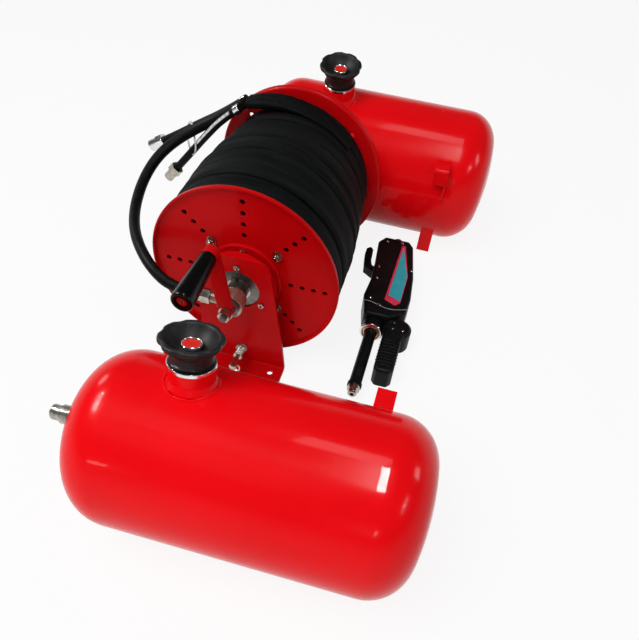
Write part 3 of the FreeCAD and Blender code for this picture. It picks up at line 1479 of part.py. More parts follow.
lance_end = s.lance_length
keep("gun_collar", gun_turned("gun_collar", [
    (s.lance_radius + s.panel_height, -housing_front), (s.collar_radius - 2, -housing_front),
    (s.collar_radius, 2 - housing_front), (s.collar_radius, s.collar_length - 2),
    (s.collar_radius - 2, s.collar_length), (s.lance_radius + s.panel_height, s.collar_length),
]))
keep("gun_lance", gun_turned("gun_lance", [
    (s.lance_bore, -housing_front), (s.lance_radius + s.panel_height - fixed, -housing_front),
    (s.lance_radius + s.panel_height - fixed, s.collar_length + 6), (s.lance_radius, s.collar_length + 10),
    (s.lance_radius, lance_end - 8), (s.tip_radius, lance_end - 6), (s.tip_radius, lance_end),
    (s.lance_bore, lance_end),
]))
keep("lance_tip", gun_turned("lance_tip", [
    (s.lance_bore, lance_end), (s.lance_radius, lance_end), (s.lance_radius, lance_end + s.tip_band),
    (s.lance_radius * 0.75, lance_end + s.tip_band + 2), (s.lance_radius * 0.75, lance_end + s.tip_band * 2),
    (s.lance_radius * 0.6, lance_end + s.tip_band * 2.2), (s.lance_bore, lance_end + s.tip_band * 2.2),
]))
inlet_end = s.gun_length + s.inlet_length
keep("gun_inlet", gun_turned("gun_inlet", [
    (s.lance_bore, s.gun_length), (s.inlet_radius + 3, s.gun_length), (s.inlet_radius + 3, s.gun_length + 6),
    (s.inlet_radius, s.gun_length + 8), (s.inlet_radius, inlet_end - 1.5), (s.inlet_radius - 1.5, inlet_end),
    (s.lance_bore, inlet_end),
], ALONG_Y))

doc.recompute()
os.makedirs("parts", exist_ok=True)
faults = []
for obj in doc.Objects:
    if "Invalid" in obj.State or "Error" in obj.State:
        faults.append(f"{obj.Label}: {obj.State}")
for name, obj in nodes.items():
    if obj.Shape.isNull() or not obj.Shape.isValid() or not obj.Shape.Solids:
        faults.append(f"{name}: no valid solid")
if faults:
    raise RuntimeError("; ".join(faults))
for name, obj in nodes.items():
    obj.Shape.exportStep(os.path.join("parts", f"{name}.step"))
    box = obj.Shape.BoundBox
    print(f"{name}: {len(obj.Shape.Solids)} solids, {obj.Shape.Volume:.0f} mm3, "
          f"x {box.XMin:.1f} {box.XMax:.1f}, y {box.YMin:.1f} {box.YMax:.1f}, z {box.ZMin:.1f} {box.ZMax:.1f}")
print(len(nodes), "nodes")
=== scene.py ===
import json
import math

import bmesh
import bpy
from mathutils import Matrix, Vector, noise


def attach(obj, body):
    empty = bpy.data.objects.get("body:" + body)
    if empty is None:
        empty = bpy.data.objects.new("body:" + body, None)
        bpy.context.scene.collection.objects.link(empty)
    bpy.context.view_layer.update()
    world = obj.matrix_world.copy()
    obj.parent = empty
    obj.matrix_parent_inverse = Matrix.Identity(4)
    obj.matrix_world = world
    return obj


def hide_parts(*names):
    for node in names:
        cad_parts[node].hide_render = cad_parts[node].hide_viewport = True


# Twin-tank water extinguisher set: two lying pressure tanks with screw caps and a
# hand-cranked reel of sleeved hose between them. The frame is the part's own:
# metres, origin on the floor under the reel, X along the tanks, Y along the reel.
# Places, routes and outlines are given in millimetres unless they say otherwise.

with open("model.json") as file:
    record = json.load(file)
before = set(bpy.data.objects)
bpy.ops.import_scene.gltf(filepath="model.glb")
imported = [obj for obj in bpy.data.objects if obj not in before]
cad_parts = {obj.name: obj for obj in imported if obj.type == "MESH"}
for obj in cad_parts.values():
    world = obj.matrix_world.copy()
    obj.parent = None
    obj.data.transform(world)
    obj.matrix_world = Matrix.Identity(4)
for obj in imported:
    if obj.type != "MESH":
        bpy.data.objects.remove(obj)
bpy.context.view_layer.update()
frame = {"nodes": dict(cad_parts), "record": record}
NODES = frame["nodes"]
MM = 0.001
REEL_HIGH = 175
TANK_HIGH, TANK_RADIUS = 131, 130


def mm(*values):
    return tuple(value * MM for value in values)


# ---- camera

CAMERA_PLACE = Vector(mm(283.2, -892.4, 836.2))
CAMERA_TURN, CAMERA_DROP, CAMERA_ROLL = -0.172, 0.955, 0.114
SENSOR_WIDE = 36
FOCAL_PIXELS, CENTRE_DROP, FRAME_PIXELS = 574.14, 106.5, 640


def add_camera():
    """The photograph's camera, as fitted to the reel's circles and the tanks' outlines."""
    ahead = Vector((
        math.sin(CAMERA_TURN) * math.cos(CAMERA_DROP),
        math.cos(CAMERA_TURN) * math.cos(CAMERA_DROP),
        -math.sin(CAMERA_DROP),
    ))
    level = ahead.cross(Vector((0, 0, 1))).normalized()
    upright = level.cross(ahead)
    right = level * math.cos(CAMERA_ROLL) + upright * math.sin(CAMERA_ROLL)
    up = upright * math.cos(CAMERA_ROLL) - level * math.sin(CAMERA_ROLL)
    lens = bpy.data.cameras.new("photo_lens")
    lens.sensor_width = SENSOR_WIDE
    lens.lens = FOCAL_PIXELS * SENSOR_WIDE / FRAME_PIXELS
    lens.shift_y = CENTRE_DROP / FRAME_PIXELS
    camera = bpy.data.objects.new("photo_camera", lens)
    turn = Matrix((right, up, -ahead)).transposed().to_4x4()
    camera.matrix_world = Matrix.Translation(CAMERA_PLACE) @ turn
    bpy.context.scene.collection.objects.link(camera)
    bpy.context.scene.camera = camera


# ---- lamps, in metres and watts

SOFT_LAMP = {"place": (-0.6, -1.2, 2.4), "aim": (0.1, -0.1, 0.1), "size": (1.8, 1.8), "energy": 42}
# across, along and width of the ceiling tubes
TUBES = ((-2.15, -0.35, 0.06), (-1.7, -0.35, 0.11), (0.37, -0.54, 0.045), (2.9, -1.3, 0.045))
TUBE_HIGH, TUBE_LONG, TUBE_ENERGY = 2.2, 1.05, 530
# place, width and energy of the bright panels
WINDOWS = (
    ((-0.91, -2.3, 0.84), 0.12, 0.5), ((0.53, -2.35, 1.15), 0.2, 1.6), ((0.15, 0.35, 2.4), 0.5, 5),
    ((-1.8, 0.6, 1.2), 0.4, 5), ((1.9, 0.3, 1.1), 0.4, 5),
)
WINDOW_AIM = (0.1, 0, 0.2)


def add_lamp(name, place, aim, size, energy, mirrored):
    """A lamp that only lights surfaces or, mirrored, only shows in their gloss."""
    lamp = bpy.data.lights.new(name, "AREA")
    lamp.shape = "RECTANGLE"
    lamp.size, lamp.size_y = size
    lamp.energy = energy
    holder = bpy.data.objects.new(name, lamp)
    holder.location = place
    holder.rotation_euler = (Vector(aim) - Vector(place)).to_track_quat("-Z", "Y").to_euler()
    holder.visible_glossy = mirrored
    holder.visible_diffuse = not mirrored
    bpy.context.scene.collection.objects.link(holder)


def add_lamps():
    add_lamp("soft_lamp", **SOFT_LAMP, mirrored=False)
    for across, along, wide in TUBES:
        add_lamp(
            f"tube_lamp_{across}", (across, along, TUBE_HIGH), (across, along, 0),
            (wide, TUBE_LONG), wide * TUBE_ENERGY, mirrored=True,
        )
    for number, (place, wide, energy) in enumerate(WINDOWS):
        add_lamp(f"window_{number}", place, WINDOW_AIM, (wide, wide), energy, mirrored=True)


# ---- material maths


class Flow:
    """A node's output with the sums that the finishes need."""

    def __init__(self, tree, socket):
        self.tree = tree
        self.socket = socket

    def worked(self, operation, *others):
        terms = dict(enumerate((self, *others)))
        return self.tree.node("ShaderNodeMath", terms, operation=operation)

    def __add__(self, other):
        return self.worked("ADD", other)

    def __sub__(self, other):
        return self.worked("SUBTRACT", other)

    def __mul__(self, other):
        return self.worked("MULTIPLY", other)

    def __pow__(self, other):
        return self.worked("POWER", other)

    def sine(self):
        return self.worked("SINE")

    def size(self):
        return self.worked("ABSOLUTE")

    def most(self, other):
        return self.worked("MAXIMUM", other)

    def part(self, name):
        return Flow(self.tree, self.socket.node.outputs[name])


class Tree:
    """The nodes of a material or of the world, built from nothing."""

    def __init__(self, owner):
        owner.use_nodes = True
        self.nodes = owner.node_tree.nodes
        self.links = owner.node_tree.links
        self.nodes.clear()

    def node(self, kind, inputs=None, output=0, **settings):
        """A new node with its inputs linked or set, as the flow from one of its outputs."""
        made = self.nodes.new(kind)
        for name, value in settings.items():
            setattr(made, name, value)
        for name, value in (inputs or {}).items():
            if isinstance(value, Flow):
                self.links.new(value.socket, made.inputs[name])
            else:
                made.inputs[name].default_value = value
        return Flow(self, made.outputs[output])

    def place(self, kind="Object"):
        return self.node("ShaderNodeTexCoord", output=kind)

    def axes(self, kind="Object"):
        return self.node("ShaderNodeSeparateXYZ", {0: self.place(kind)})

    def levels(self, value, low, high, out_low=0.0, out_high=1.0):
        ends = {1: low, 2: high, 3: out_low, 4: out_high}
        return self.node("ShaderNodeMapRange", {0: value, **ends})

    def shown_share(self):
        """1 for rays that show the background: from the camera, or through metal and glass."""
        path = self.node("ShaderNodeLightPath")
        seen, mirrored = path.part("Is Camera Ray"), path.part("Is Glossy Ray")
        return seen.most(mirrored).most(path.part("Is Transmission Ray"))

    def end(self, kind, shader):
        self.links.new(shader.socket, self.nodes.new(kind).inputs["Surface"])


class Finish(Tree):
    """A surface finish of one of the set's materials."""

    def __init__(self, name):
        self.material = bpy.data.materials.new(name)
        super().__init__(self.material)

    def speckle(self, scale, detail=2.0, roughness=0.5, where=None):
        inputs = {"Scale": scale, "Detail": detail, "Roughness": roughness}
        return self.node("ShaderNodeTexNoise", {"Vector": where or self.place(), **inputs})

    def creases(self, scale, detail, roughness):
        """Speckle drawn out over a hose's unrolled surface."""
        where = self.node("ShaderNodeMapping", {"Vector": self.place("UV"), "Scale": scale})
        return self.speckle(1.0, detail, roughness, where)

    def mixed(self, share, first, second):
        ends = {6: opaque(first), 7: opaque(second)}
        return self.node("ShaderNodeMix", {0: share, **ends}, output=2, data_type="RGBA")

    def rubbed_edge(self, radius):
        return self.node("ShaderNodeBevel", {"Radius": radius}, samples=4)

    def bumps(self, height, distance, strength, under=None):
        inputs = {"Height": height, "Distance": distance, "Strength": strength}
        if under is not None:
            inputs["Normal"] = under
        return self.node("ShaderNodeBump", inputs)

    def surface(self, **sockets):
        inputs = {name.replace("_", " "): value for name, value in sockets.items()}
        self.end("ShaderNodeOutputMaterial", self.node("ShaderNodeBsdfPrincipled", inputs))
        return self.material


def opaque(colour):
    return colour if isinstance(colour, Flow) else (*colour, 1)


def scaled(colour, share):
    """A colour with each of its parts times a share."""
    return tuple(part * share for part in colour)


# ---- finishes: colours, then roughness and what else the finish needs, lengths in metres

PAINT_EDGE, METAL_EDGE = 0.0009, 0.0004
PLASTIC_SHINE, RUBBER_SHINE, CLOTH_SHINE = 0.18, 0.09, 0.06
YARN_PITCH, OUTLET_PITCH, ROD_PITCH = 0.0026, 0.0018, 0.00125
TURNING_MARKS = 9000.0


def gloss_paint(name, bright, deep, rough, coat, peel, shine):
    """Powder coat: even colour, faint orange peel, edges rubbed round, a hard clear gloss."""
    finish = Finish(name)
    cloud = finish.levels(finish.speckle(6.0, 3.0), 0.35, 0.7)
    orange_peel = finish.speckle(420.0, 1.0)
    scuff = finish.levels(finish.speckle(38.0, 6.0, 0.62), 0.55, 0.8)
    return finish.surface(
        Base_Color=finish.mixed(cloud, deep, bright),
        Roughness=scuff * 0.12 + rough,
        Specular_IOR_Level=shine,
        Coat_Weight=coat,
        Coat_Roughness=0.02,
        Normal=finish.bumps(orange_peel, peel, 0.5, under=finish.rubbed_edge(PAINT_EDGE)),
    )


def smears(finish):
    return finish.levels(finish.speckle(90.0, 4.0, 0.6), 0.3, 0.75)


def plated(name, colour, tint, rough):
    """Bright plating with faint smears and a fine brushed grain."""
    finish = Finish(name)
    smear = smears(finish)
    grain = finish.speckle(900.0, 2.0)
    return finish.surface(
        Base_Color=finish.mixed(smear, colour, tint),
        Metallic=1.0,
        Roughness=smear * 0.16 + rough,
        Normal=finish.bumps(grain, 0.000012, 0.6, under=finish.rubbed_edge(METAL_EDGE)),
    )


def threaded(name, axis, pitch):
    """Plated steel with thread grooves along one axis of the set."""
    finish = Finish(name)
    smear = smears(finish)
    grooves = (finish.axes().part(axis) * (math.tau / pitch)).sine()
    return finish.surface(
        Base_Color=finish.mixed(smear, (0.6, 0.57, 0.51), (0.28, 0.26, 0.22)),
        Metallic=1.0,
        Roughness=smear * 0.14 + 0.12,
        Normal=finish.bumps(grooves, pitch * 0.12, 0.8, under=finish.rubbed_edge(METAL_EDGE)),
    )


def machined(name, colour, rough):
    """Turned steel: rings round the reel's axis."""
    finish = Finish(name)
    where = finish.axes()
    across, along = where.part("X"), where.part("Y")
    rise = where.part("Z") - REEL_HIGH * MM
    reach = (across * across + rise * rise) ** 0.5
    rings = ((reach + along) * TURNING_MARKS).sine()
    stain = finish.levels(finish.speckle(120.0, 4.0, 0.6), 0.45, 0.75)
    return finish.surface(
        Base_Color=finish.mixed(stain, colour, scaled(colour, 0.62)),
        Metallic=1.0,
        Roughness=stain * 0.15 + rough,
        Normal=finish.bumps(rings, 0.000008, 0.5),
    )


def moulded(name, colour, wear_and_highlight_patches, rough, shine=PLASTIC_SHINE):
    """Hard moulded plastic with a fine mat skin and paler rubbed places."""
    finish = Finish(name)
    rubbed = finish.levels(finish.speckle(55.0, 5.0, 0.65), 0.52, 0.82)
    grain = finish.speckle(1500.0, 2.0)
    return finish.surface(
        Base_Color=finish.mixed(rubbed, colour, wear_and_highlight_patches),
        Roughness=rubbed * 0.12 + rough,
        Specular_IOR_Level=shine,
        Normal=finish.bumps(grain, 0.00002, 0.45),
    )


def rubber_dust(finish):
    return finish.levels(finish.speckle(70.0, 5.0, 0.6), 0.45, 0.85)


def rubber_surface(finish, colour, dust, rough):
    return finish.surface(
        Base_Color=colour,
        Roughness=dust * 0.1 + rough,
        Specular_IOR_Level=RUBBER_SHINE,
        Normal=finish.bumps(finish.speckle(1200.0, 3.0), 0.00003, 0.5),
    )


def soft_rubber(name, colour, dusty, rough):
    """Smooth rubber, paler where it is dusty."""
    finish = Finish(name)
    dust = rubber_dust(finish)
    return rubber_surface(finish, finish.mixed(dust, colour, dusty), dust, rough)


def rubber_with_painted_highlight(name, colour, highlight_colour, rough):
    """Smooth hose rubber with a painted highlight along part of it: a pale band, broken into
    patches.
    """
    finish = Finish(name)
    where = finish.axes("UV")
    along, across = where.part("X"), where.part("Y")
    # painted highlight: a pale band with a sharp start and stop stands in for a lamp's reflection
    # along the hose, and speckle breaks it into patches
    line_place, line_edge = 0.0375, (0.0028, 0.0024)
    line_start, line_stop = (0.018, 0.021), (0.128, 0.125)
    line = finish.levels((across - line_place).size(), *line_edge)
    start = finish.levels(along, *line_start)
    stop = finish.levels(along, *line_stop)
    wear_and_highlight_patches = finish.levels(finish.speckle(160.0, 5.0, 0.7), 0.42, 0.5, 0.55, 1.0)
    dust = rubber_dust(finish)
    rubber = finish.mixed(dust, colour, scaled(colour, 2.6))
    painted = finish.mixed(line * start * stop * wear_and_highlight_patches, rubber, highlight_colour)
    return rubber_surface(finish, painted, dust, rough)


def woven_sleeve():
    """Black woven sleeve: plain weave of thick yarns, lengthwise creases with painted shade in
    their hollows and painted highlights on their ridges, dusty in places.
    """
    finish = Finish("woven_sleeve")
    where = finish.axes("UV")
    warp = (where.part("X") * (math.tau / YARN_PITCH)).sine()
    weft = (where.part("Y") * (math.tau / YARN_PITCH)).sine()
    yarn = (warp * weft) * 0.5 + 0.5
    crease = finish.creases((9.0, 90.0, 1.0), 4.0, 0.6)
    soft = finish.creases((4.0, 26.0, 1.0), 3.0, 0.55)
    slack = crease * 0.5 + soft * 0.5
    # painted shade and highlight: the fold height that bumps the folds also darkens the cloth in
    # the creases and lightens it on the fold tops
    painted_fold_light = finish.levels(slack, 0.38, 0.68)
    dust = finish.levels(finish.speckle(60.0, 6.0, 0.65), 0.5, 0.85)
    # the cloth's colour in the painted crease shade, then on the painted lit fold tops
    cloth_painted_fold_light = finish.mixed(painted_fold_light, (0.0006, 0.0008, 0.0009), (0.0068, 0.0089, 0.0094))
    yarns = finish.mixed(yarn * 0.35, cloth_painted_fold_light, (0.0016, 0.002, 0.0022))
    folds = finish.bumps(slack, 0.011, 1.0)
    return finish.surface(
        Base_Color=finish.mixed(dust * 0.25, yarns, (0.0095, 0.0112, 0.0118)),
        Roughness=dust * 0.12 + 0.62,
        Specular_IOR_Level=CLOTH_SHINE,
        Normal=finish.bumps(yarn, 0.00035, 0.6, under=folds),
    )


RED_TANK = gloss_paint(
    "tank_powder_coat", (0.94, 0.003, 0.007), (0.86, 0.002, 0.005),
    rough=0.2, coat=0.12, peel=0.00001, shine=0.06,
)
RED_REEL = gloss_paint(
    "reel_powder_coat", (0.62, 0.002, 0.004), (0.53, 0.0015, 0.003),
    rough=0.3, coat=0.04, peel=0.00002, shine=0.05,
)
CAP_PLASTIC = moulded("cap_plastic", (0.012, 0.0115, 0.0115), (0.03, 0.029, 0.028), 0.46)
DISC_PLASTIC = moulded("disc_plastic", (0.72, 0.02, 0.012), (0.82, 0.06, 0.04), 0.3)
GRIP_PLASTIC = moulded("grip_plastic", (0.0025, 0.0024, 0.0022), (0.008, 0.0075, 0.007), 0.2)
CHROME = plated("bright_chrome", (0.83, 0.83, 0.84), (0.72, 0.71, 0.7), 0.07)
ZINC = plated("zinc_plate", (0.58, 0.54, 0.46), (0.28, 0.255, 0.21), 0.12)
STEEL = machined("ground_steel", (0.21, 0.205, 0.19), 0.3)
BRASS = plated("turned_brass", (0.44, 0.37, 0.3), (0.3, 0.24, 0.19), 0.28)
SEAL = soft_rubber("seal_rubber", (0.03, 0.03, 0.03), (0.06, 0.06, 0.06), 0.6)
HOSE_BLACK = (0.0032, 0.0032, 0.0035)
HOSE = soft_rubber("hose_rubber", HOSE_BLACK, (0.009, 0.0089, 0.0088), 0.45)
SLEEVE = woven_sleeve()
GUN_PLASTIC = moulded("gun_plastic", (0.006, 0.006, 0.0065), (0.016, 0.016, 0.017), 0.34, 0.08)
PANEL_RED = moulded("panel_red_plastic", (0.82, 0.03, 0.085), (0.86, 0.07, 0.12), 0.3)
PANEL_TEAL = moulded("panel_teal_plastic", (0.035, 0.39, 0.47), (0.07, 0.46, 0.54), 0.34)
COPPER = plated("copper_seat", (0.75, 0.42, 0.26), (0.6, 0.32, 0.2), 0.2)
SEAM = moulded("seam_bead", (0.3, 0.3, 0.3), (0.42, 0.42, 0.42), 0.35)
TIE = moulded("tie_nylon", (0.62, 0.62, 0.62), (0.75, 0.75, 0.75), 0.4)
# hose rubber with a pale painted highlight along part of it, for the lower tail
HOSE_WITH_PAINTED_HIGHLIGHT = rubber_with_painted_highlight("hose_with_painted_highlight", HOSE_BLACK, (0.75, 0.75, 0.74), 0.42)
THREAD_ACROSS = threaded("outlet_thread", "X", OUTLET_PITCH)
THREAD_ALONG = threaded("rod_thread", "Y", ROD_PITCH)

FINISHES = {
    "tank_red": RED_TANK, "reel_red": RED_REEL, "cap_black": CAP_PLASTIC,
    "cap_red": DISC_PLASTIC, "chrome": CHROME, "zinc": ZINC, "steel": STEEL,
    "union_brass": BRASS, "seal_rubber": SEAL, "grip_black": GRIP_PLASTIC, "hose_rubber": HOSE,
    "hose_sleeve": SLEEVE, "gun_black": GUN_PLASTIC, "panel_red": PANEL_RED,
    "panel_teal": PANEL_TEAL,
}
# nodes that show a thread instead of their slot's plain finish
NODE_FINISHES = {
    "outlet_nipples": THREAD_ACROSS, "tie_rods": THREAD_ALONG, "lock_body": THREAD_ALONG,
}


def paint_nodes():
    for entry in frame["record"]["subparts"]:
        name, slot = entry["node"], entry["material_slot"]
        materials = NODES[name].data.materials
        materials.clear()
        materials.append(NODE_FINISHES.get(name, FINISHES[slot]))


# ---- floor and background

FLOOR_HALF_WIDE, FLOOR_DROP = 8, 0.0004
FLOOR_WHITE = 0.88  # how far the floor is plain white to rays that show the background
AMBIENT = 0.46


def add_floor():
    finish = Finish("pale_floor")
    colour = finish.mixed(finish.speckle(3.0, 2.0), (0.93, 0.93, 0.93), (0.96, 0.96, 0.96))
    lit = finish.node("ShaderNodeBsdfDiffuse", {"Color": colour})
    white = finish.node("ShaderNodeEmission", {"Color": (1, 1, 1, 1), "Strength": 1.0})
    shown = finish.shown_share() * FLOOR_WHITE
    both = finish.node("ShaderNodeMixShader", {0: shown, 1: lit, 2: white})
    finish.end("ShaderNodeOutputMaterial", both)
    mesh = bpy.data.meshes.new("floor")
    shape = bmesh.new()
    bmesh.ops.create_grid(shape, x_segments=1, y_segments=1, size=FLOOR_HALF_WIDE)
    bmesh.ops.translate(shape, verts=shape.verts, vec=(0, 0, -FLOOR_DROP))
    shape.to_mesh(mesh)
    shape.free()
    mesh.materials.append(finish.material)
    floor = bpy.data.objects.new("floor", mesh)
    bpy.context.scene.collection.objects.link(floor)


def add_world():
    """White to the camera, a dome that darkens upwards in the gloss, dim light all round."""
    world = bpy.data.worlds.new("studio")
    bpy.context.scene.world = world
    tree = Tree(world)
    path = tree.node("ShaderNodeLightPath")
    dome = tree.levels(tree.axes("Generated").part("Z"), 0.04, 0.3, 1.0, 0.08)
    seen = (dome * tree.shown_share()).most(path.part("Is Camera Ray"))
    strength = seen.most(path.part("Is Diffuse Ray") * AMBIENT)
    tree.end("ShaderNodeOutputWorld", tree.node("ShaderNodeBackground", {"Strength": strength}))


# ---- shapes

MERGE = 1e-6


def new_piece(name, shape, finish, body, sharp=None, replaces=()):
    """A finished mesh that rides on a body and carries the finish it is given."""
    mesh = bpy.data.meshes.new(name)
    shape.to_mesh(mesh)
    shape.free()
    mesh.materials.append(finish)
    mesh.polygons.foreach_set("use_smooth", [True] * len(mesh.polygons))
    if sharp is not None:
        mesh.set_sharp_from_angle(angle=math.radians(sharp))
    piece = bpy.data.objects.new(name, mesh)
    bpy.context.scene.collection.objects.link(piece)
    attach(piece, body)
    if replaces:
        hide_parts(*replaces)
    return piece


def spun(outline, place=Matrix(), steps=72):
    """A closed body of revolution from (radius, height) spots, in millimetres."""
    shape = bmesh.new()
    spots = [shape.verts.new(mm(radius, 0, height)) for radius, height in outline]
    edges = [shape.edges.new(pair) for pair in zip(spots, spots[1:])]
    bmesh.ops.spin(
        shape, geom=spots + edges, cent=(0, 0, 0), axis=(0, 0, 1), angle=math.tau,
        steps=steps, use_merge=True,
    )
    bmesh.ops.remove_doubles(shape, verts=shape.verts, dist=MERGE)
    bmesh.ops.recalc_face_normals(shape, faces=shape.faces)
    bmesh.ops.transform(shape, matrix=place, verts=shape.verts)
    return shape


def stand(spot, ahead):
    """Placement at a spot in millimetres with the Z axis along ahead."""
    turn = Vector(ahead).to_track_quat("Z", "Y").to_matrix().to_4x4()
    return Matrix.Translation(mm(*spot)) @ turn


def join(shape, other):
    """Add other's faces to shape."""
    spare = bpy.data.meshes.new("spare")
    other.to_mesh(spare)
    other.free()
    shape.from_mesh(spare)
    bpy.data.meshes.remove(spare)


def route(name, spots, resolution, closed=False):
    """Points in metres along the smooth line through a route given in millimetres."""
    line = bpy.data.curves.new(name, "CURVE")
    line.dimensions = "3D"
    line.resolution_u = resolution
    spline = line.splines.new("NURBS")
    spline.points.add(len(spots) - 1)
    for point, spot in zip(spline.points, spots):
        point.co = (*mm(*spot), 1)
    spline.order_u = 3
    spline.use_endpoint_u = not closed
    spline.use_cyclic_u = closed
    holder = bpy.data.objects.new(name, line)
    bpy.context.scene.collection.objects.link(holder)
    graph = bpy.context.evaluated_depsgraph_get()
    mesh = bpy.data.meshes.new_from_object(holder.evaluated_get(graph))
    points = [vert.co.copy() for vert in mesh.vertices]
    bpy.data.meshes.remove(mesh)
    bpy.data.objects.remove(holder)
    bpy.data.curves.remove(line)
    return points


def length_of(points):
    return sum((after - before).length for before, after in zip(points, points[1:]))


def frames_along(points, side):
    """Place, sideways and outward directions at each point, without twist."""
    frames = []
    side = Vector(side)
    last = len(points) - 1
    for number, point in enumerate(points):
        ahead = (points[min(number + 1, last)] - points[max(number - 1, 0)]).normalized()
        side = (side - ahead * side.dot(ahead)).normalized()
        frames.append((point, side, ahead.cross(side)))
    return frames


def skin(frames, around, section, open_ends=False):
    """A tube over frames. section gives sideways and outward reach at shares u and v."""
    shape = bmesh.new()
    uv = shape.loops.layers.uv.new("UVMap")
    steps = len(frames) - 1
    bmesh.ops.create_grid(
        shape, x_segments=steps, y_segments=around, size=0.5, calc_uvs=True,
    )
    for vert in shape.verts:
        u, v = vert.co.x + 0.5, vert.co.y + 0.5
        place, side, out = frames[round(u * steps)]
        across, rise = section(u, v)
        vert.co = place + side * across + out * rise
    long = length_of([place for place, side, out in frames])
    rim = [section(0.5, number / around) for number in range(around + 1)]
    girth = sum(math.dist(before, after) for before, after in zip(rim, rim[1:]))
    for face in shape.faces:
        for loop in face.loops:
            loop[uv].uv = (loop[uv].uv.x * long, loop[uv].uv.y * girth)
    bmesh.ops.remove_doubles(shape, verts=shape.verts, dist=MERGE)
    if not open_ends:
        rims = [edge for edge in shape.edges if edge.is_boundary]
        bmesh.ops.holes_fill(shape, edges=rims, sides=0)
    bmesh.ops.recalc_face_normals(shape, faces=shape.faces)
    return shape


def round_section(radius, swell=None):
    """Section of a round cord, swollen by a share that may change along and around it."""
    def section(u, v):
        reach = radius * MM * (1 + (swell(u, v) if swell else 0))
        return math.cos(v * math.tau) * reach, math.sin(v * math.tau) * reach
    return section


def eased(share):
    """0 to 1 with a soft start and stop."""
    return share * share * (3 - 2 * share)


# ---- the wound hose

# along and outside radius of the wound hose: full by the crank, slack at the rear tank
PACK_SPOTS = (
    (-165, 157), (-110, 162.5), (-45, 162.5), (15, 158.5), (70, 152), (120, 146), (165, 142),
)
PACK_HALF_LONG, PACK_INSIDE, PACK_THICK, PACK_MOST = 161.4, 92.5, 67, 1.02
TURNS, SPOTS_A_TURN, TURN_PITCH = 8, 16, 40.3
LAYER_REACHES, LAYER_STEP = (103.5, 125.5, 147.6), 22.1
CROSSING = 0.22  # share of a turn in which the hose moves over to the next lane
CLIMBING = 0.5  # share of a layer's last turn in which it climbs to the next layer
UNEVEN = (0, 0.07, -0.08, 0.05, 0.09, -0.07, 0.04, 0, 0)  # lanes that the outer turns stray
WOUND_START = math.radians(-60)
ROUTE_SAG = 0.981  # the smooth line's reach as a share of its spots' reach
TAIL_ALONG, TAIL_DRIFT, TAIL_REACH, TAIL_LIFT = 121, 4, 168.2, 1.6
TAIL_START, TAIL_STOP, TAIL_STEP = 44, 126, 6  # degrees round the reel


def pack_reach(along):
    """Outside radius of the wound hose at a place along the reel."""
    for (start, low), (stop, high) in zip(PACK_SPOTS, PACK_SPOTS[1:]):
        if along <= stop:
            return low + (high - low) * eased(max((along - start) / (stop - start), 0))
    return PACK_SPOTS[-1][1]


def from_axis(spot):
    """The way in metres from the reel's axis straight out to a spot."""
    return Vector((spot.x, 0, spot.z - REEL_HIGH * MM))


def on_reel(angle, reach, along):
    return (math.cos(angle) * reach, along, REEL_HIGH + math.sin(angle) * reach)


def wound_hose():
    """Three layers of flat woven sleeve, eight turns each, two hoses inside."""
    spots = []
    for layer, reach in enumerate(LAYER_REACHES):
        outer = layer == len(LAYER_REACHES) - 1
        lane = -1 if layer % 2 else 1
        for step in range(TURNS * SPOTS_A_TURN):
            turn = step / SPOTS_A_TURN
            shift = min(max((turn % 1 - (1 - CROSSING)) / CROSSING, 0), 1)
            along = min(int(turn) + eased(shift), TURNS - 1) - (TURNS - 1) / 2
            along += UNEVEN[int(turn + shift)] if outer else 0
            climb = 0 if outer else LAYER_STEP * max(0, (turn - TURNS + CLIMBING) / CLIMBING)
            out = (reach + climb) / ROUTE_SAG
            spots.append(on_reel(WOUND_START - turn * math.tau, out, along * lane * TURN_PITCH))
    return route("wound_hose_route", spots, resolution=5)


def winding_frames(points):
    along = Vector((0, 1, 0))
    return [(point, along, from_axis(point).normalized()) for point in points]


def squared(reach, power):
    """A cosine or sine bent outwards, so that a round section becomes squarer."""
    return math.copysign(abs(reach) ** power, reach)


def flat_sleeve(half_wide, half_thick, seed, folds):
    """Section of a flat sleeve over two hoses, with lengthwise folds of a given strength."""
    run_long = 150
    fold_deep, fine_deep, fine_aside = 0.0016, 0.0007, 0.0004
    groove_deep, groove_wide = 0.03, 0.14

    def section(u, v):
        across = squared(math.cos(v * math.tau), 0.6)
        rise = squared(math.sin(v * math.tau), 0.5)
        run = u * run_long
        fold = noise.noise(Vector((run * 0.35, across * 4.2 + seed, rise * 2)))
        fine = noise.noise(Vector((run * 1.2 + 7, across * 11 + seed, rise * 3)))
        drift = noise.noise(Vector((run * 0.11, seed * 3.1, 5))) * 0.05
        groove = groove_deep * math.exp(-(across / groove_wide) ** 2)
        crown = 0.95 + 0.06 * (1 - across ** 2) - groove
        aside = across * (0.985 + drift * 0.4) * half_wide * MM + fine * fine_aside * folds
        crease = (fold * fold_deep + fine * fine_deep) * folds * rise
        return aside, rise * half_thick * MM * crown + crease

    return section


def add_wound_hose():
    """The turns, eased in or out so that their outside follows pack_reach."""
    section = flat_sleeve(half_wide=20.6, half_thick=10.7, seed=3.0, folds=1.7)
    shape = skin(winding_frames(wound_hose()), around=26, section=section)
    for vert in shape.verts:
        out = from_axis(vert.co)
        reach = out.length / MM
        along = min(max(vert.co.y / MM, -PACK_HALF_LONG), PACK_HALF_LONG)
        share = min(max(reach - PACK_INSIDE, 0) / PACK_THICK, PACK_MOST)
        limit = PACK_INSIDE + (pack_reach(along) - PACK_INSIDE) * share
        vert.co += out * (limit / reach - 1)
        vert.co.y = along * MM
    new_piece("wound_hose", shape, SLEEVE, "drum", replaces=["hose_pack"])


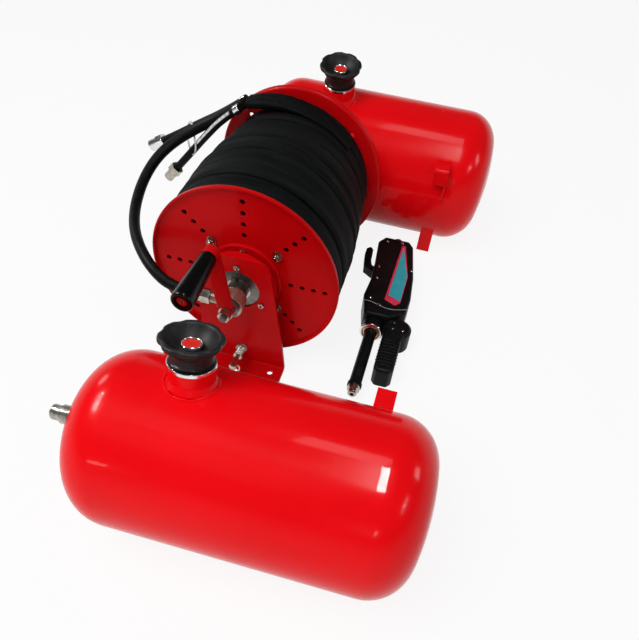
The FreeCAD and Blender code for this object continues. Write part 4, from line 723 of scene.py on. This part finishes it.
def add_sleeve_tail():
    """The sleeve's outer end, which leaves the turns and is bound off at the ferrules."""
    spots = []
    start = pack_reach(TAIL_ALONG)
    for degrees in range(TAIL_START, TAIL_STOP, TAIL_STEP):
        share = (degrees - TAIL_START) / (TAIL_STOP - TAIL_START)
        out = start + TAIL_LIFT + (TAIL_REACH - start) * share ** 2.8
        spots.append(on_reel(math.radians(degrees), out, TAIL_ALONG + TAIL_DRIFT * share))

    def section(u, v):
        half_thick = 1.2 + 7.6 * u ** 1.6
        half_wide = 23.5 - 2.2 * u
        bound = 1 - 0.12 * math.exp(-((1 - u) / 0.04) ** 2)
        sleeve = flat_sleeve(half_wide * bound, half_thick * bound, seed=9.0, folds=1.6 - 0.9 * u)
        return sleeve(u * 0.12, v)

    frames = winding_frames(route("sleeve_route", spots, resolution=10))
    shape = skin(frames, around=56, section=section)
    for vert in shape.verts:
        out = from_axis(vert.co)
        limit = max(out.length, (pack_reach(vert.co.y / MM) + 0.8) * MM)
        vert.co += out * (limit / out.length - 1)
    new_piece("sleeve_tail", shape, SLEEVE, "base", replaces=["sleeve_end"])


# radius, what the far end meets, and the spots that each hose passes
HOSE_ROUTES = {
    "supply_hose": (9.5, "object", [
        (-62, -234, 175), (-106, -234, 175), (-146, -218, 191), (-185, -180, 199),
        (-219, -129, 194), (-243, -72, 195), (-255, -8, 205), (-249, 44, 221),
        (-227, 84, 237), (-190, 112, 256), (-146, 125, 279), (-99.9, 125, 312.5),
    ]),
    "upper_tail": (7, "fitting", [
        (-99.9, 143, 312.5), (-146, 143, 279), (-200, 144, 247), (-246, 139, 219),
        (-278, 137, 201),
    ]),
    "lower_tail": (7, "fitting", [
        (-99.9, 107, 312.5), (-134.7, 107, 287.2), (-173, 105, 246), (-206, 102, 208),
        (-238, 100, 172),
    ]),
}
TIE_ROUTE = [
    (-226, 151.5, 241), (-212, 132, 255), (-196, 104, 246), (-189, 92, 225),
    (-196, 92, 208), (-209, 106, 211), (-222, 128, 219), (-232, 146, 226),
]
TIE_HALF_WIDE, TIE_HALF_THICK = 2.2, 0.7


def add_hoses():
    for name, (radius, far_end, spots) in HOSE_ROUTES.items():
        points = route(f"{name}_route", spots, resolution=16)
        shape = skin(frames_along(points, (0, 0, 1)), around=28, section=round_section(radius))
        # the lower tail carries the painted highlight
        finish = HOSE_WITH_PAINTED_HIGHLIGHT if name == "lower_tail" else HOSE
        piece = new_piece(
            f"{name}_line", shape, finish, "base", sharp=40, replaces=[name],
        )
        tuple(points[0])
        length_of(points)


def add_cable_tie():
    """Clear tie that gathers the three hoses."""
    points = route("tie_route", TIE_ROUTE, resolution=8, closed=True)
    points.append(points[0].copy())
    middle = sum(points, Vector()) / len(points)
    bundle = Vector((-0.8, -0.06, -0.6)).normalized()
    frames = []
    for point in points:
        out = point - middle
        out = (out - bundle * out.dot(bundle)).normalized()
        frames.append((point, bundle, out))

    def section(u, v):
        across = squared(math.cos(v * math.tau), 0.3)
        return across * TIE_HALF_WIDE * MM, math.sin(v * math.tau) * TIE_HALF_THICK * MM

    tie = skin(frames, around=12, section=section, open_ends=True)
    new_piece("cable_tie", tie, TIE, "base")


# ---- screw caps, weld beads and small fittings

# along of each tank's axis, across of its neck and middle, the neck's lean, side of the reel
TANKS = {
    "front": {"along": -503, "neck": 38, "middle": 130, "lean": math.radians(-15), "reel": 1},
    "rear": {"along": 350, "neck": 33, "middle": 125, "lean": math.radians(9), "reel": -1},
}
CAP_OUTLINE = [
    (0, 160), (28.2, 160), (28.4, 168), (28.4, 174), (28.9, 177), (30.2, 180), (32.6, 183),
    (35.6, 185.7), (38.6, 188), (40.4, 189.9), (41.3, 191.8), (41.5, 193.6), (41, 195.3),
    (39.8, 196.5), (37.9, 197), (35.8, 196.9), (34.1, 196.2), (32.8, 194.8), (31, 192.2),
    (27.6, 188.1), (23.8, 184.6), (20.2, 181.9), (17.4, 180.2), (15.4, 179.8), (14.2, 180.2),
    (13.9, 181.4), (13.8, 183), (0, 183),
]
BEZEL_OUTLINE = [
    (11.3, 183), (13.7, 183), (13.7, 186), (13.4, 187.3), (12.8, 188.1), (12.2, 188.1),
    (11.6, 187.3), (11.3, 186), (11.3, 183),
]
WHEEL_REACH, WHEEL_INSIDE, WHEEL_EASE, WHEEL_FOOT = 41.5, 31, 8, 181
SCALLOPS, SCALLOP_PLACE, SCALLOP_RADIUS, SCALLOP_SOFT = 8, 52.4, 13, 1.2


def neck_place(tank):
    sizes = TANKS[tank]
    foot = Matrix.Translation(mm(sizes["neck"], sizes["along"], TANK_HIGH))
    return foot @ Matrix.Rotation(sizes["lean"], 4, "X")


def scallop_reach(angle):
    """Radius of the wheel's edge at an angle, with its soft scallops."""
    step = math.tau / SCALLOPS
    off = (angle + step / 2) % step - step / 2
    aside = abs(SCALLOP_PLACE * math.sin(off))
    if aside >= SCALLOP_RADIUS:
        return WHEEL_REACH
    cut = SCALLOP_PLACE * math.cos(off) - math.sqrt(SCALLOP_RADIUS ** 2 - aside ** 2)
    both = math.exp(-cut / SCALLOP_SOFT) + math.exp(-WHEEL_REACH / SCALLOP_SOFT)
    return min(-SCALLOP_SOFT * math.log(both), WHEEL_REACH)


def add_cap(tank):
    """Screw cap with its dished, scalloped handwheel."""
    shape = spun(CAP_OUTLINE, steps=160)
    for vert in shape.verts:
        reach = math.hypot(vert.co.x, vert.co.y) / MM
        if reach > WHEEL_INSIDE and vert.co.z / MM > WHEEL_FOOT:
            share = min(1, (reach - WHEEL_INSIDE) / WHEEL_EASE)
            edge = scallop_reach(math.atan2(vert.co.y, vert.co.x))
            vert.co.xy *= 1 + (edge / WHEEL_REACH - 1) * share
    bmesh.ops.transform(shape, matrix=neck_place(tank), verts=shape.verts)
    new_piece(
        f"{tank}_cap_wheel", shape, CAP_PLASTIC, f"{tank}_screw_cap",
        replaces=[f"{tank}_cap"],
    )


def add_disc_ring(tank):
    """Rolled chrome bezel round the red disc."""
    new_piece(
        f"{tank}_disc_bezel", spun(BEZEL_OUTLINE, neck_place(tank)), CHROME,
        f"{tank}_screw_cap", replaces=[f"{tank}_cap_ring"],
    )


def bead_along(points, radius, pitch):
    """Weld bead with the ripples of its pools, pitch in metres."""
    pools = length_of(points) / pitch
    ripple_share, uneven_share = 0.14, 0.18

    def swell(u, v):
        uneven = noise.noise(Vector((u * 40, v * 3, 2)))
        return ripple_share * math.sin(u * pools * math.tau) + uneven_share * uneven

    section = round_section(radius, swell)
    return skin(frames_along(points, (0.1, 0.2, 1)), around=10, section=section)


def add_neck_bead(tank):
    """Weld bead where the neck meets the tank, laid on the tank's round side."""
    bead_reach, steps = 36.2, 48
    place = neck_place(tank)
    points = []
    for step in range(steps + 1):
        angle = math.tau * step / steps
        across, aside = bead_reach * math.cos(angle), bead_reach * math.sin(angle)
        high = math.sqrt((TANK_RADIUS + 0.4) ** 2 - aside ** 2) + 0.2
        points.append(place @ Vector(mm(across, aside, high)))
    bead = bead_along(points, radius=1.5, pitch=0.0035)
    new_piece(f"{tank}_neck_weld", bead, RED_TANK, "base")


def add_hook_beads():
    """Fillet welds where the hooks' plates meet the tanks."""
    hook_across, hook_half_wide = 153, 14
    plate_highs = (84.6, 78.4)
    beads = bmesh.new()
    for sizes in TANKS.values():
        for end in (-hook_across, hook_across):
            for high in plate_highs:
                reach = math.sqrt(TANK_RADIUS ** 2 - high ** 2) + 0.6
                y = sizes["along"] + sizes["reel"] * reach
                points = [
                    Vector(mm(sizes["middle"] + end + step, y, TANK_HIGH + high))
                    for step in range(-hook_half_wide, hook_half_wide + 1)
                ]
                join(beads, bead_along(points, radius=1.7, pitch=0.003))
    new_piece("hook_welds", beads, RED_TANK, "base")


def add_lock_ring():
    """Split ring of two coils through the pull knob."""
    middle, ring_reach, coil_pitch, wire_radius, steps = (1.5, -247, 25.5), 9, 1.1, 0.55, 40
    ring = bmesh.new()
    for coil in range(2):
        points = []
        for step in range(steps + 1):
            angle = math.tau * step / steps
            points.append(Vector(mm(
                middle[0] + ring_reach * math.cos(angle),
                middle[1] + coil_pitch * (coil + step / steps),
                middle[2] + ring_reach * math.sin(angle),
            )))
        frames = frames_along(points, (0, 1, 0.01))
        join(ring, skin(frames, around=10, section=round_section(wire_radius)))
    new_piece("lock_ring", ring, CHROME, "lock")


# ---- spray gun details

GUN = Vector((222, -65, 0))
GUN_WIDE, GUN_LONG = 92, 255
LANCE_HIGH, HEAD_TOP, GRIP_TOP = 28, 55.9, 47.9
# across and along of the housing's screws as shares of the gun
HOUSING_SCREWS = (
    (-0.2, 0.2), (0.03, 0.14), (-0.22, 0.93), (0.12, 0.95), (0.5, 0.62), (-0.2, 0.44),
)
GRIP_SCREWS = ((262, -77), (282, -77), (262, -60))
SEAM_EDGE = ((-0.33, 0.16), (-0.2, 0.165), (0.0, 0.14), (0.25, 0.115), (0.5, 0.14), (0.62, 0.16))
SEAT_OUTLINE = [
    (12.8, 12.5), (18.4, 12.5), (18.4, 13.6), (16.4, 14.4), (15, 16.4), (12.8, 16.8),
    (12.8, 12.5),
]
RING_OUTLINE = [
    (18.2, 12), (21.6, 12), (22.2, 13), (22.2, 15.6), (21.4, 16.8), (19.4, 16.8),
    (18.2, 15.4), (18.2, 12),
]


def gun_spot(across, along, high):
    return (GUN.x + GUN_WIDE * across, GUN.y + GUN_LONG * along, high)


def screw_head(spot, radius, height):
    """Pan screw head with a hexagon socket, facing up."""
    outline = (
        (0, 0), (1, 0), (1, 0.55), (0.86, 0.86), (0.6, 1), (0.46, 1), (0.42, 0.92), (0.42, 0.3),
        (0, 0.3),
    )
    outline = [(radius * out, height * rise) for out, rise in outline]
    return spun(outline, stand(spot, (0, 0, 1)), steps=36)


def add_gun_screws():
    screws = bmesh.new()
    for across, along in HOUSING_SCREWS:
        join(screws, screw_head(gun_spot(across, along, HEAD_TOP), radius=3.4, height=1.9))
    for x, y in GRIP_SCREWS:
        join(screws, screw_head((x, y, GRIP_TOP), radius=2.6, height=1.5))
    new_piece("gun_screws", screws, ZINC, "base")


def add_grip_ribs():
    """Raised ribs across the front grip, the last ones shorter."""
    rib_count, full_ribs, rib_half_wide, shortening = 9, 7, 18.9, 2.2
    first_along, rib_pitch, sweep = -105, 8, 2
    middle, foot, rise = GUN.x + 43.42, 36, 8.0
    half_steps = 9
    ribs = bmesh.new()
    for rib in range(rib_count):
        width = rib_half_wide - max(0, rib - full_ribs + 1) * shortening
        points = []
        for step in range(-half_steps, half_steps + 1):
            share = step / half_steps
            bend = math.sqrt(max(0, 1 - abs(share) ** 7))
            along = first_along - rib * rib_pitch - sweep * share * share
            points.append(Vector(mm(middle + width * share, along, foot + rise * bend)))
        frames = frames_along(points, (0, 1, 0))
        join(ribs, skin(frames, around=8, section=round_section(radius=1.3)))
    new_piece("grip_ribs", ribs, GUN_PLASTIC, "base")


def add_collar_face():
    """Copper seat and plated ring inside the lance collar."""
    place = stand((GUN.x, GUN.y, LANCE_HIGH), (0, -1, 0))
    new_piece("collar_seat", spun(SEAT_OUTLINE, place), COPPER, "base")
    new_piece("collar_ring", spun(RING_OUTLINE, place), CHROME, "base")


def add_gun_seam():
    """Parting bead between the gun's housing and its head."""
    spots = [gun_spot(across, along, HEAD_TOP + 0.2) for across, along in SEAM_EDGE]
    frames = frames_along(route("seam_route", spots, resolution=8), (0, 1, 0))
    seam = skin(frames, around=8, section=round_section(radius=0.9))
    new_piece("gun_seam", seam, SEAM, "base")


# ---- the set

add_camera()
add_floor()
add_world()
add_lamps()
paint_nodes()
add_hoses()
add_wound_hose()
add_sleeve_tail()
add_cable_tie()
for tank in TANKS:
    add_cap(tank)
    add_disc_ring(tank)
    add_neck_bead(tank)
add_hook_beads()
add_lock_ring()
add_gun_screws()
add_grip_ribs()
add_collar_face()
add_gun_seam()

bpy.context.scene.view_settings.view_transform = "Standard"
